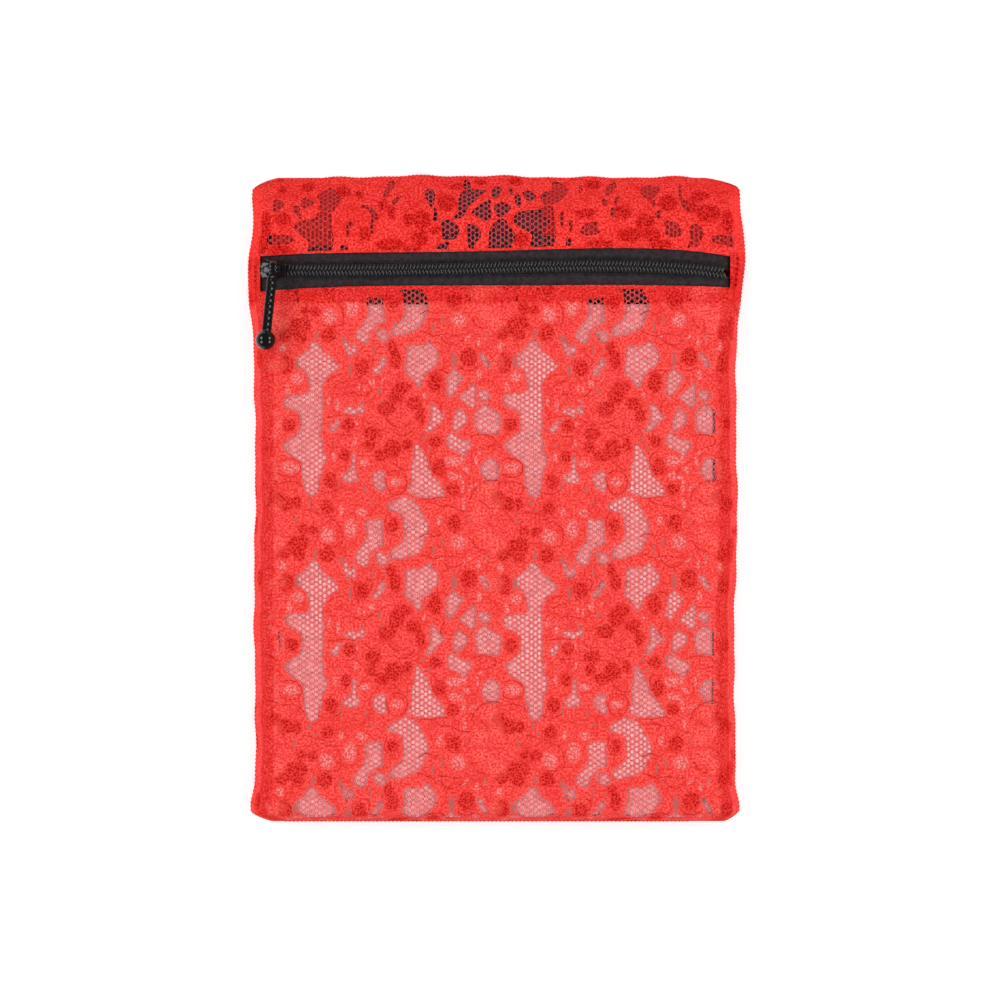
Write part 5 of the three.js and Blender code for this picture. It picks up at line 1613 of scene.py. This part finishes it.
def make_pull():
    """An eye round the bridge, a stem with a ridge along it, and a ball."""
    along, half = pull_profile()
    on_stem = along < STEM_TO + 0.1
    ridge, flatter = np.where(on_stem, 1.65, 1.0), np.where(on_stem, 0.8, 1.0)
    around = round_steps(28)
    none = np.zeros_like(around)
    sections = [np.column_stack([r * bent(np.cos(around), p), none, r * f * bent(np.sin(around), p)])
                for r, p, f in zip(half, ridge, flatter)]
    path = np.column_stack([np.zeros_like(along), -along, np.zeros_like(along)])
    points, faces = tube(path, sections)
    eye, eye_faces = pull_eye()
    faces += (eye_faces + len(points)).tolist()
    turned = np.array(Euler((0, 0, -PULL_YAW)).to_matrix() @ Euler((PULL_DROOP, 0, 0)).to_matrix())
    points = np.concatenate([points, eye]) @ turned.T + PIVOT
    metal_piece("pull_rod", points, faces, "pull", "zip_pull")


# Studio: pale floor, four soft boxes, camera straight over the case


FLOOR_HALF, FLOOR_GLOW = 4.0, 0.2
ROOM_LIGHT, ROOM_DIMMER = 0.55, 0.27  # the room's light, and how much less of it is seen in reflections
SOFTBOX_AT, SOFTBOX_SIZE, SOFTBOX_POWER = (1.05, 0.5, 0.8), 0.6, 7.0
LENS, SENSOR = 250, 36
VIEW_WIDTH, VIEW_Z = 312.7, 10  # how wide the picture is, and at which height
VIEW_X, VIEW_Y = 1.25, -0.16


def make_floor():
    """A pale floor that gives off a little light of its own."""
    mesh = bpy.data.meshes.new("floor")
    corners = [(x * FLOOR_HALF, y * FLOOR_HALF, 0) for x, y in ((-1, -1), (1, -1), (1, 1), (-1, 1))]
    mesh.from_pydata(corners, [], [(0, 1, 2, 3)])
    finish, _, _ = principled("pale_floor", Base_Color=(0.93, 0.93, 0.93, 1), Roughness=0.9,
                              Emission_Color=(1, 1, 1, 1), Emission_Strength=FLOOR_GLOW)
    mesh.materials.append(finish)
    new_object("floor", mesh)


def make_room(scene):
    """An even white light all round, dimmer in reflections."""
    scene.world = bpy.data.worlds.new("studio")
    scene.world.use_nodes = True
    tree = scene.world.node_tree
    sky = tree.nodes["Background"]
    sky.inputs["Color"].default_value = (1, 1, 1, 1)
    in_gloss = add_node(tree, "ShaderNodeLightPath").outputs["Is Glossy Ray"]
    strength = math_node(tree, "SUBTRACT", ROOM_LIGHT, math_node(tree, "MULTIPLY", in_gloss, ROOM_DIMMER))
    tree.links.new(strength, sky.inputs["Strength"])


def make_softbox(number):
    """One of four soft boxes, set round the case and turned to it."""
    name = f"softbox_{number + 1}"
    light = bpy.data.lights.new(name, "AREA")
    light.shape = "SQUARE"
    light.size = SOFTBOX_SIZE
    light.energy = SOFTBOX_POWER
    x, y, z = SOFTBOX_AT
    lamp = bpy.data.objects.new(name, light)
    lamp.location = (x * (-1) ** number, y * (-1) ** (number // 2), z)
    lamp.rotation_euler = (-lamp.location).to_track_quat("-Z", "Y").to_euler()
    bpy.context.collection.objects.link(lamp)


def make_camera(scene):
    """A long lens straight over the case."""
    camera = bpy.data.cameras.new("camera")
    camera.lens = LENS
    camera.sensor_width = SENSOR
    over = bpy.data.objects.new("camera", camera)
    over.location = (VIEW_X * MM, VIEW_Y * MM, (VIEW_WIDTH * LENS / SENSOR + VIEW_Z) * MM)
    bpy.context.collection.objects.link(over)
    scene.camera = over
    scene.view_settings.view_transform = "Standard"


def make_studio():
    scene = bpy.context.scene
    make_floor()
    make_room(scene)
    for number in range(4):
        make_softbox(number)
    make_camera(scene)


make_front_lace()
make_header_lace()
make_back_lace()
make_lining()
make_insert()
make_zip()
make_quilting()
make_fold_loops()
make_slider()
make_bridge()
make_pull()
make_studio()
